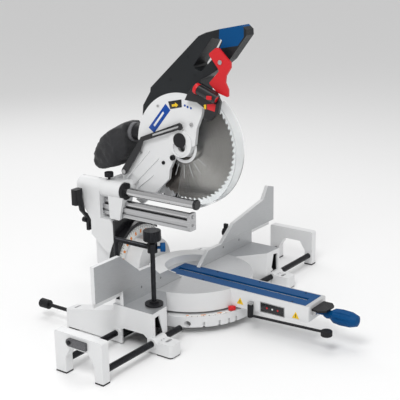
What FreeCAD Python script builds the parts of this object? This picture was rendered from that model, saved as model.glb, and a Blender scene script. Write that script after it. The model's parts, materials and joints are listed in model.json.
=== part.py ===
"""Sliding compound mitre saw with two side extension supports.

Frame: millimetres, +Z up, +X to the right, -Y towards the user.
The pieces are drawn from the turntable axis, with X = 0 in the blade's plane and
Y = 0 on the front face of the fence. They are then moved so that the origin is
on the ground at the centre of the four bench slots. The head is raised, with the
carriage at the back and the mitre and the bevel at zero.
"""
import FreeCAD, Part
import os
from math import cos, sin, radians, pi

os.makedirs("parts", exist_ok=True)
V = FreeCAD.Vector

# ---- clearances --------------------------------------------------------
running = 0.05          # radial gap of a shaft that turns or slides in its bore
gap = 0.3               # gap between moving faces that don't touch

# ---- saw blade ---------------------------------------------------------
blade_r = 152.5
blade_t = 2.6
blade_teeth = 60
tooth_depth = 7.0
arbor_r = 15.0
blade_y, blade_z = 9.0, 472.5      # arbor with the head raised

# ---- head --------------------------------------------------------------
pivot_y, pivot_z = 200.0, 335.0    # chop hinge, along X
pivot_pin_r = 8.0
knuckle_r = 23.0
lug_room = 43.0                    # free radius beside the knuckle, where the lugs pass
guard_r = 171.0                    # clear lower guard, outside
guard_wall = 3.0
guard_half = 19.5                  # half of the guard's width
plate_in, plate_out = 21.0, 32.0   # the head's two side plates, from the blade plane
cover_r = 150.0                    # rim of the white side plates
boss_r = 38.0
gearcase_r = 46.0
gearcase_out = 62.0
motor_y, motor_z, motor_r = 105.0, 345.0, 50.0
motor_out = 168.0
handle_half, grip_half = 31.0, 17.0
lever_pin_y, lever_pin_z = -128.0, 714.0
barrel_x = -55.0                   # axis of the work light's barrel
link_pivot = (204.0, 382.0)        # rear pin of the guard link

# ---- table -------------------------------------------------------------
table_z = 110.0
turntable_r = 168.0
drum_bottom = 57.0
table_gap = 1.5
base_half = 305.0
base_front, base_back = -98.0, 33.0
block_inner_x = 241.0
wall = 6.0
foot_pad = 4.0
foot_top = 37.0
foot_front = -156.0
foot_width = 43.0
wing_back = 210.0
wing_top = 52.0
ring_r = 185.0
ring_low, ring_top = 20.0, 50.0
floor_low, floor_top = 42.0, 50.0
pivot_bolt_r = 10.0
bench_x, bench_front, bench_rear = 280.0, -128.0, 184.0
bench_hole_r, bench_slot = 4.5, 24.0

# ---- front arm ---------------------------------------------------------
arm_half = 46.0
arm_front = -400.0
arm_end_low = 68.0
strip_half, strip_t = 42.0, 5.0
strip_front, strip_back = -388.0, 60.0
kerf_half = 7.0
kerf_front, kerf_back = -372.0, 50.0
kerf_floor = 86.0

# ---- fences ------------------------------------------------------------
fence_t = 12.0
fence_low_h = 40.0
bridge_in, bridge_out, bridge_h = 79.0, 125.0, 22.0
lip_t, lock_x = 5.0, 222.0

# ---- bevel column and rails --------------------------------------------
rail_x = -62.0
rail_z, rail_r = 331.0, 12.25
rail_front, rail_back = -58.0, 340.0
beam_half, beam_low, beam_top = 14.0, 257.0, 286.0
low_rail_r = 9.5
low_rail_front = -40.0
sleeve_r = 26.0                    # housing round the upper rail
carriage_front, carriage_back = 191.0, 262.0
column_front, column_back = 213.0, 300.0
housing_back = 352.0
scale_r_in, scale_r_out = 78.0, 104.0
bevel_y, flange_back = 190.0, 206.0 # flange that carries the bevel scale
drum_r = 72.0

# ---- extension supports ------------------------------------------------
rod_r = 8.5
rod_z = 30.0
rod_front_y, rod_back_y = -95.0, 25.0
rod_inner = 190.0                  # inner end of the rods, from the blade plane
stand_x, stand_t, stand_top = 497.0, 24.0, table_z


# ---- helpers -----------------------------------------------------------
def box(x0, x1, y0, y1, z0, z1):
    """Box between two corners."""
    return Part.makeBox(x1 - x0, y1 - y0, z1 - z0, V(x0, y0, z0))


def cyl(axis, r, a, b, u, v):
    """Cylinder along an axis from a to b; u and v are its other two coordinates in order."""
    if axis == "x":
        return Part.makeCylinder(r, b - a, V(a, u, v), V(1, 0, 0))
    if axis == "y":
        return Part.makeCylinder(r, b - a, V(u, a, v), V(0, 1, 0))
    return Part.makeCylinder(r, b - a, V(u, v, a), V(0, 0, 1))


def tube(axis, r_in, r_out, a, b, u, v):
    """Ring with a straight bore."""
    return cyl(axis, r_out, a, b, u, v).cut(cyl(axis, r_in, a - 1, b + 1, u, v))


def prism(axis, points, a, b):
    """Closed outline in the plane across an axis, extruded along it from a to b."""
    place = {
        "x": lambda p: V(a, p[0], p[1]),
        "y": lambda p: V(p[0], a, p[1]),
        "z": lambda p: V(p[0], p[1], a),
    }[axis]
    way = {"x": V(b - a, 0, 0), "y": V(0, b - a, 0), "z": V(0, 0, b - a)}[axis]
    corners = [place(p) for p in points]
    face = Part.Face(Part.makePolygon(corners + corners[:1]))
    return face.extrude(way)


def fuse(*shapes):
    """One solid from pieces that touch or overlap."""
    return shapes[0].multiFuse(list(shapes[1:])).removeSplitter()


def weld(*shapes):
    """One solid, joined piece by piece with its seam lines kept."""
    body = shapes[0]
    for shape in shapes[1:]:
        body = body.fuse(shape)
    return body


def group(*shapes):
    """Separate solids in one node."""
    return Part.makeCompound(list(shapes))


def mirror(shape):
    """The same shape on the other side of the blade plane."""
    return shape.mirror(V(0, 0, 0), V(1, 0, 0))


def turn(shape, centre, axis, degrees):
    """A turned copy."""
    copy = shape.copy()
    copy.rotate(V(*centre), V(*axis), degrees)
    return copy


def soften(shape, radius, pick):
    """Fillet on the edges that pick() accepts."""
    edges = [e for e in shape.Edges if pick(e)]
    return shape.makeFillet(radius, edges) if edges else shape


def along(axis):
    """Edge test: a straight edge parallel to an axis."""
    way = {"x": V(1, 0, 0), "y": V(0, 1, 0), "z": V(0, 0, 1)}[axis]

    def test(edge):
        if edge.Curve.TypeId != "Part::GeomLine":
            return False
        return abs(abs(edge.tangentAt(edge.FirstParameter).dot(way)) - 1) < 1e-6

    return test


def rounded_box(x0, x1, y0, y1, z0, z1, axis, radius):
    """Box with the edges along one axis rounded."""
    return soften(box(x0, x1, y0, y1, z0, z1), radius, along(axis))


def sector(axis_x, r_in, r_out, start, end, y, z):
    """Part of a ring across X between two angles, counted from +Y towards +Z."""
    x0, x1 = axis_x
    ring = tube("x", r_in, r_out, x0, x1, y, z)
    return ring.common(pie(axis_x, r_out * 2, start, end, y, z))


def pie(axis_x, reach, start, end, y, z):
    """Wedge across X between two angles, counted from +Y towards +Z."""
    x0, x1 = axis_x
    steps = max(2, int((end - start) / 40) + 1)
    angles = [start + (end - start) * i / steps for i in range(steps + 1)]
    rim = [(y + reach * cos(radians(a)), z + reach * sin(radians(a))) for a in angles]
    return prism("x", [(y, z)] + rim, x0, x1)


def fluted(axis, r, a, b, u, v, flutes, depth):
    """Round knob with grip grooves along it."""
    body = cyl(axis, r, a, b, u, v)
    body = soften(body, min(2.0, (b - a) / 4), lambda e: e.Curve.TypeId == "Part::GeomCircle")
    cuts = []
    for i in range(flutes):
        t = 2 * pi * i / flutes
        cu, cv = u + (r + depth * 0.6) * cos(t), v + (r + depth * 0.6) * sin(t)
        cuts.append(cyl(axis, depth * 1.4, a - 1, b + 1, cu, cv))
    return body.cut(Part.makeCompound(cuts))


parts = {}


# ---- base --------------------------------------------------------------
def base_half_casting():
    """Right half of the base casting: table block, rear wing and front foot."""
    gap_r = turntable_r + table_gap
    block = prism("z", [(0, base_front + 40), (block_inner_x - 80, -28), (block_inner_x, base_front + 5),
                        (base_half, base_front), (base_half, base_back), (0, base_back)],
                  foot_pad, table_z)
    inside = prism("z", [(block_inner_x - 76, -19), (block_inner_x + 4, base_front + 12),
                         (base_half - wall, base_front + wall), (base_half - wall, base_back - wall),
                         (0, base_back - wall)], foot_pad - 1, table_z - 9)
    shell_wall = tube("z", gap_r, gap_r + wall, foot_pad, table_z, 0, 0).common(block)
    block = block.cut(cyl("z", gap_r, foot_pad - 2, table_z + 1, 0, 0))
    block = block.cut(inside.cut(cyl("z", gap_r + wall, 0, table_z, 0, 0)))
    block = fuse(block, shell_wall)
    wing = prism("x", [(base_back - wall, foot_pad), (wing_back, foot_pad), (wing_back, wing_top),
                       (base_back + 12, 88), (base_back - wall, 96)],
                 base_half - foot_width, base_half)
    wing_in = prism("x", [(base_back - wall + 8, foot_pad - 1), (wing_back - wall, foot_pad - 1),
                          (wing_back - wall, foot_top - 8), (base_back + 12, foot_top - 8)],
                    base_half - foot_width + wall, base_half - wall)
    wing = soften(wing, 12, lambda e: along("z")(e) and e.CenterOfMass.y > wing_back - 1)
    wing = wing.cut(wing_in)
    foot = box(base_half - foot_width, base_half, foot_front, base_front + 10, foot_pad, foot_top)
    foot = soften(foot, 10, lambda e: along("z")(e) and e.CenterOfMass.y < foot_front + 1)
    foot = foot.cut(box(base_half - foot_width + wall, base_half - wall,
                        foot_front + wall, base_front + 2, foot_pad - 1, foot_top - 8))
    grip = prism("y", [(base_half - 44, 40), (base_half - 10, 34), (base_half - 10, 96),
                       (base_half - 30, 98)], base_front - 10, base_front + 20)
    carry = prism("x", [(-78, foot_pad - 1), (8, foot_pad - 1), (8, 42), (0, 48), (-66, 48), (-78, 40)],
                  base_half - wall - 2, base_half + 1)
    half = fuse(block, wing, foot).cut(grip).cut(carry)
    for y in (rod_front_y, rod_back_y):
        half = half.fuse(cyl("x", rod_r + 6, base_half - 44, base_half + 4, y, rod_z))
    for y in (bench_front, bench_rear):
        slot = fuse(box(bench_x - bench_slot / 2 + bench_hole_r, bench_x + bench_slot / 2 - bench_hole_r,
                        y - bench_hole_r, y + bench_hole_r, 0, 120),
                    cyl("z", bench_hole_r, 0, 120, bench_x - bench_slot / 2 + bench_hole_r, y),
                    cyl("z", bench_hole_r, 0, 120, bench_x + bench_slot / 2 - bench_hole_r, y))
        half = half.cut(slot)
    for y in (rod_front_y, rod_back_y):
        half = half.cut(cyl("x", rod_r + running, 20, base_half + 30, y, rod_z))
    return half


def make_base():
    """Base casting, feet, mitre scale and the bolt that the turntable turns on."""
    right = base_half_casting()
    ring = tube("z", ring_r - 13, ring_r, ring_low, ring_top, 0, 0)
    floor = cyl("z", ring_r - 6, floor_low, floor_top, 0, 0)
    boss = cyl("z", 26, ring_low, floor_top, 0, 0)
    body = weld(fuse(ring, floor, boss), right, mirror(right))
    body = body.cut(cyl("z", pivot_bolt_r, 0, table_z, 0, 0))
    for y in (rod_front_y, rod_back_y):
        for side in (-1, 1):
            hole = cyl("x", rod_r + running, 34, ring_r + 20, y, rod_z)
            body = body.cut(hole if side > 0 else mirror(hole))
    for degrees in (-45, -31.6, -22.5, -15, 0, 15, 22.5, 31.6, 45):
        notch = box(-3.2, 3.2, -ring_r - 1, -ring_r + 7, ring_low - 1, ring_low + 14)
        body = body.cut(turn(notch, (0, 0, 0), (0, 0, 1), degrees))
    parts["base_casting"] = body
    pads = []
    for y0, y1 in ((foot_front + 3, base_front - 6), (bench_rear - 22, wing_back - 8)):
        pad = rounded_box(base_half - foot_width + 1, base_half - 1, y0, y1, 0, foot_pad, "z", 6)
        slot = box(bench_x - bench_slot / 2, bench_x + bench_slot / 2,
                   (bench_front if y0 < 0 else bench_rear) - bench_hole_r - 1,
                   (bench_front if y0 < 0 else bench_rear) + bench_hole_r + 1, -1, foot_pad + 1)
        pad = pad.cut(slot)
        pads += [pad, mirror(pad)]
    parts["rubber_feet"] = group(*pads)
    head = Part.makeCylinder(17, 8, V(0, 0, ring_low - 8), V(0, 0, 1))
    shank = cyl("z", pivot_bolt_r, ring_low, kerf_floor - 8, 0, 0)
    parts["turntable_bolt"] = fuse(head, shank)


# ---- turntable ---------------------------------------------------------
def make_turntable():
    """Turntable with its arm and rear bevel bracket, the kerf strip and the pointer."""
    disc = cyl("z", turntable_r, drum_bottom, table_z, 0, 0)
    disc = disc.cut(tube("z", 40, turntable_r - 8, drum_bottom - 1, table_z - 14, 0, 0))
    arm = prism("x", [(-120, drum_bottom), (arm_front, arm_end_low), (arm_front, table_z), (-120, table_z)],
                -arm_half, arm_half)
    arm = soften(arm, 5, lambda e: along("z")(e) and e.CenterOfMass.y < arm_front + 1)
    hollow = prism("x", [(-178, drum_bottom - 2), (arm_front + 8, arm_end_low - 2),
                         (arm_front + 8, table_z - 14), (-178, table_z - 14)], -arm_half + 5, arm_half - 5)
    arm = arm.cut(hollow)
    neck = box(-66, 66, 120, bevel_y, drum_bottom, table_z - 10)
    above = box(-130, 130, 120, 220, drum_bottom, 230)
    drum = cyl("y", drum_r, turntable_r * 0.82, bevel_y, 0, table_z).common(above)
    flange = cyl("y", scale_r_out, bevel_y, flange_back, 0, table_z).common(above)
    body = fuse(disc, arm, neck, drum, flange)
    body = body.cut(cyl("y", 12 + running, 130, 230, 0, table_z))
    strip_bed = box(-strip_half - running, strip_half + running, strip_front - running,
                    strip_back + running, table_z - strip_t, table_z + 1)
    kerf = box(-10, 10, kerf_front - 4, kerf_back + 4, kerf_floor, table_z + 1)
    body = body.cut(strip_bed).cut(kerf)
    body = body.cut(cyl("z", pivot_bolt_r + running, 0, kerf_floor - 6, 0, 0))
    body = body.cut(cyl("y", 6.2, arm_front - 2, arm_front + 40, 0, 83))
    parts["turntable"] = body
    strip = box(-strip_half, strip_half, strip_front, strip_back, table_z - strip_t, table_z)
    strip = soften(strip, 4, along("z"))
    strip = strip.cut(box(-kerf_half, kerf_half, kerf_front, kerf_back, 0, table_z + 1))
    for side in (-1, 1):
        for y in (-345, -200, -60):
            strip = strip.cut(cyl("z", 3.4, 0, 200, side * (strip_half - 7), y))
    parts["kerf_strip"] = strip
    plate = tube("y", scale_r_in, scale_r_out, bevel_y - 2, bevel_y, 0, table_z)
    plate = plate.common(box(-130, 130, 0, 300, table_z + 12, 300))
    parts["bevel_scale"] = plate
    pin = fuse(cyl("y", 12, 152, column_back + 6, 0, table_z),
               cyl("y", 20, column_back + gap, column_back + 10, 0, table_z))
    parts["bevel_pivot_pin"] = pin


def make_arm_controls():
    """Mitre lock grip, detent paddle and the lever under the arm."""
    lock_z = 83.0
    rod = cyl("y", 6, arm_front - 22, arm_front + 38, 0, lock_z)
    profile = [(0, -22), (9, -22), (12, -30), (11, -40), (19, -52), (21, -70), (20, -98),
               (14, -116), (0, -122)]
    face = Part.Face(Part.makePolygon([V(r, arm_front + y, lock_z) for r, y in profile + profile[:1]]))
    grip = face.revolve(V(0, 0, lock_z), V(0, 1, 0), 360)
    for i in range(8):
        t = 2 * pi * i / 8
        groove = cyl("y", 5.5, arm_front - 112, arm_front - 50, 23.5 * cos(t), lock_z + 23.5 * sin(t))
        grip = grip.cut(groove)
    parts["mitre_grip"] = fuse(rod, grip)
    hinge_y, hinge_z, hinge_r = arm_front - 6.5, 93.0, 2.5
    paddle = prism("z", [(-34, arm_front - 2), (-38, arm_front - 24), (-24, arm_front - 40),
                         (16, arm_front - 40), (30, arm_front - 28), (30, arm_front - 2)], 97, 102)
    web = box(-22, 22, arm_front - 12, arm_front - 2, 92, 97)
    hinge_barrel = cyl("x", 5, -24, 24, hinge_y, hinge_z)
    paddle = fuse(paddle, web, hinge_barrel).cut(cyl("y", 7.5, arm_front - 30, arm_front, 0, lock_z))
    parts["detent_paddle"] = paddle.cut(cyl("x", hinge_r + running, -30, 30, hinge_y, hinge_z))
    ear = box(24.3, 30, arm_front - 12, arm_front, 85, 96.5)
    pin = cyl("x", hinge_r, -30, 30, hinge_y, hinge_z)
    paddle_hinge = fuse(pin, ear, mirror(ear))
    knob_y, lever_x = -228.0, -arm_half - 8
    post = fluted("z", 8, 45, 81, lever_x, knob_y, 10, 1.0)
    bar = prism("x", [(knob_y + 4, 47), (arm_front - 46, 55), (arm_front - 46, 60), (knob_y + 4, 52)], lever_x - 3, lever_x + 3)
    end = fluted("z", 15, 46, 60, lever_x + 6, arm_front - 54, 12, 1.6)
    lever = fuse(post, bar, end)
    parts["arm_lever"] = lever.cut(cyl("z", 3 + running, 40, 90, lever_x, knob_y))
    stud = fuse(cyl("z", 3, 45, 86, lever_x, knob_y), box(lever_x - 5, -arm_half, knob_y - 6, knob_y + 6,
                82, 88))
    parts["arm_pins"] = group(paddle_hinge, stud)


# ---- fences ------------------------------------------------------------
def make_fences():
    """Fixed fence with its bridge behind the blade, the two tall sliding fences and their locks."""
    low, top = table_z, table_z + fence_low_h
    left = prism("y", [(-302, low), (-51, low), (-113, top), (-302, top)], 0, fence_t)
    right = prism("y", [(32, low), (302, low), (302, top), (75, top)], 0, fence_t)
    bridge = tube("z", bridge_in, bridge_out, low + gap, low + bridge_h, 0, 0)
    bridge = bridge.common(box(-200, 200, 0, 200, 0, 300))
    feet = [box(x0, x1, fence_t, base_back - 4, low, low + 12)
            for x0, x1 in ((-300, -190), (190, 300))]
    ribs = [prism("x", [(fence_t, low + 12), (base_back - 6, low + 12), (fence_t, low + 20)], x, x + 6)
            for x in (-250, -195, 190, 245)]
    ribs += [box(x - 8, x + 8, fence_t + lip_t + 1, fence_t + lip_t + 7, low + 8, top + 22)
             for x in (-lock_x, lock_x)]
    body = fuse(left, right, bridge, *feet, *ribs)
    body = soften(body, 3,
                  lambda e: e.Curve.TypeId == "Part::GeomCircle" and e.CenterOfMass.z > low + bridge_h - 1
                  and e.Curve.Radius > bridge_out - 1)
    for x in (-lock_x, lock_x):
        body = body.cut(cyl("y", 4 + running, fence_t + lip_t, fence_t + 20, x, top + 8))
    turning = cyl("z", turntable_r + table_gap, 0, low + gap, 0, 0)
    parts["fixed_fence"] = body.cut(turning)
    seat = top + gap
    tall_left = prism("y", [(-407, seat), (-150, seat), (-186, 183), (-233, 185), (-308, 247), (-407, 247)],
                      0, fence_t)
    tall_right = prism("y", [(142, seat), (428, seat), (428, 258), (396, 267), (369, 229), (205, 196)],
                       0, fence_t)
    for name, tall, x0, x1 in (("left_sliding_fence", tall_left, -400, -195),
                               ("right_sliding_fence", tall_right, 195, 420)):
        lip = box(x0, x1, fence_t, fence_t + lip_t, top - 16, seat + 20)
        lip = lip.cut(box(x0 - 1, x1 + 1, fence_t - 1, fence_t + gap, 0, seat))
        parts[name] = fuse(tall, lip)
    for side, name in ((-1, "left_fence_lock"), (1, "right_fence_lock")):
        x = side * lock_x
        stem = cyl("y", 4, fence_t + lip_t + gap, fence_t + 22, x, top + 8)
        knob = fluted("y", 13, fence_t + 22, fence_t + 36, x, top + 8, 8, 1.6)
        lobe = box(x - 4, x + 4, fence_t + 22, fence_t + 34, top + 8, top + 34)
        parts[name] = fuse(stem, knob, lobe)


# ---- column, rails, carriage ------------------------------------------
def make_column():
    """Bevel column with the two rails that it holds at the back."""
    hub = cyl("y", 70, column_front, column_back, 0, table_z)
    leg = prism("y", [(-88, 185), (-92, 150), (-60, 78), (62, 90), (66, 150), (-20, 215), (-34, 300),
                (-88, 300)],
                column_front, column_back)
    upper = prism("x", [(column_front, 235), (column_back, 235), (column_back + 45, 300),
                  (column_back + 50, 331),
                        (carriage_back + gap, 331), (carriage_back + gap, 246), (column_front, 246)],
                        -88, -36)
    sleeve = cyl("y", sleeve_r, carriage_back + gap, housing_back, rail_x, rail_z)
    sleeve = soften(sleeve, 5,
                    lambda e: e.Curve.TypeId == "Part::GeomCircle" and e.CenterOfMass.y > housing_back - 1)
    body = fuse(hub, leg, upper, sleeve)
    body = body.cut(cyl("y", 12 + running, column_front - 5, column_back + 5, 0, table_z))
    body = body.cut(cyl("y", rail_r, carriage_back - 5, rail_back, rail_x, rail_z))
    body = body.cut(cyl("y", low_rail_r, carriage_back - 80, column_back + 20, rail_x, beam_top + low_rail_r))
    body = body.cut(box(rail_x - beam_half, rail_x + beam_half, carriage_back - 80, column_back,
                    beam_low, beam_top))
    head_room = box(-36, 120, column_front - 1, column_back + 1, 216, 320)
    carriage_room = box(-100, -30, column_front - 1, carriage_back + gap, beam_low - 11, 400)
    slope = prism("x", [(column_front - 1, 222), (carriage_back + gap, 312), (column_front - 1, 312)],
                  -130, 40)
    heel = prism("x", [(column_front - 1, 125), (column_back + 1, 192), (column_back + 1, 60),
                 (column_front - 1, 60)],
                 -130, -70)
    parts["column"] = body.cut(head_room).cut(carriage_room).cut(slope).cut(heel)
    span = box(-130, 74, 0, 300, table_z + 30, 300)
    arc = tube("y", scale_r_out + 3.5, scale_r_out + 13, bevel_y - 4, column_front, 0, table_z)
    web = tube("y", 40, scale_r_out + 13, flange_back + 0.6, column_front, 0, table_z)
    cover = prism("y", [(-92, 246), (-40, 243), (5, 228), (45, 211), (74, 190), (74, 150), (-92, 150)],
                  flange_back + 0.6, column_front)
    cover = cover.cut(cyl("y", 40, 0, 400, 0, table_z))
    parts["bevel_quadrant"] = fuse(arc, web, cover).common(span)
    parts["upper_rail"] = cyl("y", rail_r, rail_front, rail_back, rail_x, rail_z)
    parts["lower_rail"] = cyl("y", low_rail_r, low_rail_front, column_back + 20, rail_x,
                              beam_top + low_rail_r)
    beam = box(rail_x - beam_half, rail_x + beam_half, low_rail_front, column_back, beam_low, beam_top)
    beam = beam.cut(cyl("y", low_rail_r, low_rail_front - 1, column_back + 30, rail_x, beam_top + low_rail_r))
    for side in (-1, 1):
        x = rail_x + side * beam_half
        beam = beam.cut(box(min(x, x - side * 4), max(x, x - side * 4), low_rail_front - 1, column_back + 1,
                            beam_low + 10, beam_low + 17))
    parts["rail_beam"] = beam
    plate = rounded_box(rail_x - beam_half, rail_x + beam_half, low_rail_front - 9, low_rail_front,
                        beam_low - 1, beam_top + 2 * low_rail_r + 1, "y", 4)
    plate = plate.cut(cyl("y", 5, low_rail_front - 10, low_rail_front + 1, rail_x, beam_top + low_rail_r))
    cap = cyl("y", rail_r + 2, rail_front - 8, rail_front, rail_x, rail_z)
    parts["rail_ends"] = group(plate, soften(cap, 2, lambda e: e.CenterOfMass.y < rail_front - 7))
    lever_x, lever_z = -72.0, 206.0
    shaft = cyl("y", 6, column_back, column_back + 22, lever_x, lever_z)
    outline = [(-114, 300), (-98, 300), (-91, 257), (-64, 234), (-62, 196), (-80, 196), (-80, 232), (-106, 262)]
    plate = prism("y", outline, column_back + 18, column_back + 27)
    knob = rounded_box(-128, -97, column_back + 16, column_back + 38, 282, 328, "z", 6)
    peg = cyl("y", 8, column_back + 27, column_back + 40, -76, 226)
    parts["bevel_lock_lever"] = fuse(shaft, plate, knob, peg)


def make_carriage():
    """Carriage that slides on the rails and carries the head's hinge."""
    low_z = beam_top + low_rail_r
    sleeve = cyl("y", sleeve_r, carriage_front, carriage_back, rail_x, rail_z)
    shoe_side = [(carriage_front - 13, 316), (carriage_front + 42, 316), (carriage_front + 38, beam_low - 8),
                 (carriage_front + 2, beam_low - 8)]
    shoe = prism("x", shoe_side, rail_x - beam_half - 9, rail_x + beam_half + 9)
    shoe = soften(shoe, 4, lambda e: along("x")(e) and e.CenterOfMass.z < beam_low)
    beam_room = box(rail_x - beam_half - gap, rail_x + beam_half + gap, carriage_front - 20, carriage_back + 1,
                    beam_low - 20, beam_top)
    shoe = shoe.cut(beam_room)
    shoe = shoe.cut(cyl("y", sleeve_r - 1, carriage_front - 20, carriage_front, rail_x, rail_z))
    tie = box(rail_x, 46, carriage_back - 14, carriage_back, pivot_z - 24, pivot_z + 20)
    lugs = []
    for x0, x1 in ((-46, -26), (34, 46)):
        eye = cyl("x", knuckle_r, x0, x1, pivot_y, pivot_z)
        web = box(x0, x1, pivot_y, carriage_back, pivot_z - knuckle_r, pivot_z + 18)
        lugs += [eye, web]
    body = fuse(sleeve, shoe, tie, *lugs)
    body = body.cut(cyl("y", rail_r + running, carriage_front - 1, carriage_back + 1, rail_x, rail_z))
    body = body.cut(cyl("y", rail_r + 3, carriage_front + 10, carriage_back - 10, rail_x, rail_z))
    body = body.cut(cyl("y", low_rail_r + running, carriage_front - 20, carriage_back + 1, rail_x, low_z))
    body = body.cut(cyl("x", pivot_pin_r, -60, 60, pivot_y, pivot_z))
    body = body.cut(cyl("y", rail_r + running, carriage_front - 1, carriage_back + 1, rail_x, rail_z))
    parts["carriage"] = body
    bushes = [tube("y", rail_r + running, rail_r + 3, a, a + 18, rail_x, rail_z)
              for a in (carriage_front + 10, carriage_back - 28)]
    wiper = tube("y", rail_r + running, sleeve_r - 2, carriage_front - 9, carriage_front, rail_x, rail_z)
    wiper = wiper.cut(box(-46 - gap, 0, carriage_front - 10, carriage_front + 1, 300, 370))
    parts["rail_bushes"] = group(wiper, *bushes)
    parts["chop_pivot_pin"] = fuse(cyl("x", pivot_pin_r, rail_x + rail_r + 3.75, 46, pivot_y, pivot_z),
                                   cyl("x", pivot_pin_r + 5, 46, 50, pivot_y, pivot_z))
    stem_y = carriage_back - 16
    stem = cyl("z", 4, rail_z + sleeve_r - 1, rail_z + sleeve_r + 8, rail_x, stem_y)
    parts["rail_lock_knob"] = fuse(stem, fluted("z", 13, rail_z + sleeve_r + 8, rail_z + sleeve_r + 22,
                                                rail_x, stem_y, 8, 1.6))
    parts["carriage"] = parts["carriage"].cut(cyl("z", 4 + running, rail_z + rail_r, rail_z + 60, rail_x,
                                              stem_y))


# ---- head --------------------------------------------------------------
def side_plate(x0, x1):
    """Side plate of the head: round over the blade, tapering down to the chop hinge."""
    disc = cyl("x", cover_r, x0, x1, blade_y, blade_z)
    keep = prism("x", [(-60, 566), (-75, 640), (180, 640), (180, 505), (150, 470), (182, 430), (226, 366),
                       (224, 320), (196, 306), (150, 292), (118, 318), (84, 350), (54, 378), (50, 406),
                       (34, 436), (-38, 486), (-44, 530)], x0, x1)
    outer = disc.common(keep)
    arm = prism("x", [(120, 520), (150, 470), (182, 430), (226, 366), (222, 320), (196, 310), (150, 292),
                      (118, 318), (84, 350), (54, 378), (50, 406), (34, 436), (20, 520)], x0, x1)
    return fuse(outer, arm)


def make_head():
    """The head that chops: side plates, gear case, motor, handle and dust outlet."""
    left = side_plate(-plate_out, -plate_in)
    left = fuse(left, cyl("x", boss_r, -37, -plate_in, blade_y, blade_z + 12))
    right = side_plate(plate_in, plate_out)
    gear = fuse(cyl("x", gearcase_r, plate_in, gearcase_out, blade_y, blade_z),
                prism("x", [(blade_y - 34, blade_z + 30), (blade_y + 34, blade_z + 30),
                            (motor_y + 44, motor_z + 22), (motor_y - 6, motor_z - 48)],
                      plate_in, plate_out + 14))
    knuckle = cyl("x", knuckle_r, -26 + gap, 34 - gap, pivot_y, pivot_z)
    tie = prism("x", [(190, 314), (222, 330), (222, 366), (206, 372), (186, 350)], -plate_in, plate_in)
    body = fuse(left, right, gear, knuckle, tie)
    body = body.cut(fuse(cyl("x", lug_room, -60, -26 + gap, pivot_y, pivot_z),
                         cyl("x", lug_room, 34 - gap, 60, pivot_y, pivot_z)))
    body = body.cut(cyl("x", pivot_pin_r + running, -80, 80, pivot_y, pivot_z))
    body = body.cut(cyl("x", arbor_r - 3 + running, -31, gearcase_out - 3, blade_y, blade_z))
    body = body.cut(cyl("x", 24, -60, -plate_in + 1, blade_y, blade_z).common(box(-60, -30, -90, 90, 400,
                    560)))
    parts["head_casting"] = body
    parts["arbor_bearing"] = tube("x", arbor_r - 3 + running, 26, 30, 44, blade_y, blade_z)
    parts["head_casting"] = parts["head_casting"].cut(cyl("x", 26, 30, 44, blade_y, blade_z))
    parts["arbor_cover"] = soften(cyl("x", 20, -41, -37, blade_y, blade_z + 22), 1.5,
                                  lambda e: e.CenterOfMass.x < -40)
    can = cyl("x", motor_r, plate_out + 14, motor_out - 22, motor_y, motor_z)
    can = can.cut(cyl("x", motor_r - 4, plate_out + 18, motor_out - 21, motor_y, motor_z))
    parts["motor_housing"] = can
    end = fuse(cyl("x", motor_r, motor_out - 22, motor_out - 4, motor_y, motor_z),
               cyl("x", motor_r - 8, motor_out - 4, motor_out, motor_y, motor_z))
    end = end.cut(cyl("x", motor_r - 4, motor_out - 23, motor_out - 12, motor_y, motor_z))
    for i in range(12):
        end = end.cut(turn(box(motor_out - 13, motor_out + 1, motor_y + 16, motor_y + 38, motor_z - 2,
                      motor_z + 2),
                           (0, motor_y, motor_z), (1, 0, 0), 30 * i))
    parts["motor_end_cap"] = end
    parts["motor_core"] = fuse(cyl("x", motor_r - 4, plate_out + 24, motor_out - 40, motor_y, motor_z),
                               cyl("x", 8, plate_out + 18, motor_out - 12, motor_y, motor_z))
    hubs = [tube("x", 36, 44 - running, *span, blade_y, blade_z)
            for span in ((-plate_in, -guard_half + guard_wall), (guard_half - guard_wall, plate_in))]
    parts["head_casting"] = weld(parts["head_casting"], *hubs)


def handle_outline():
    """Outside of the black handle moulding, seen from the side."""
    return [(140, 550), (137, 577), (111, 616), (109, 628), (-54, 775), (-76, 785), (-112, 795), (-178, 808),
            (-192, 797), (-193, 783), (-141, 718), (-104, 690), (-84, 676), (-60, 664), (-40, 560), (120,
                                                                                                     520)]


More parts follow.
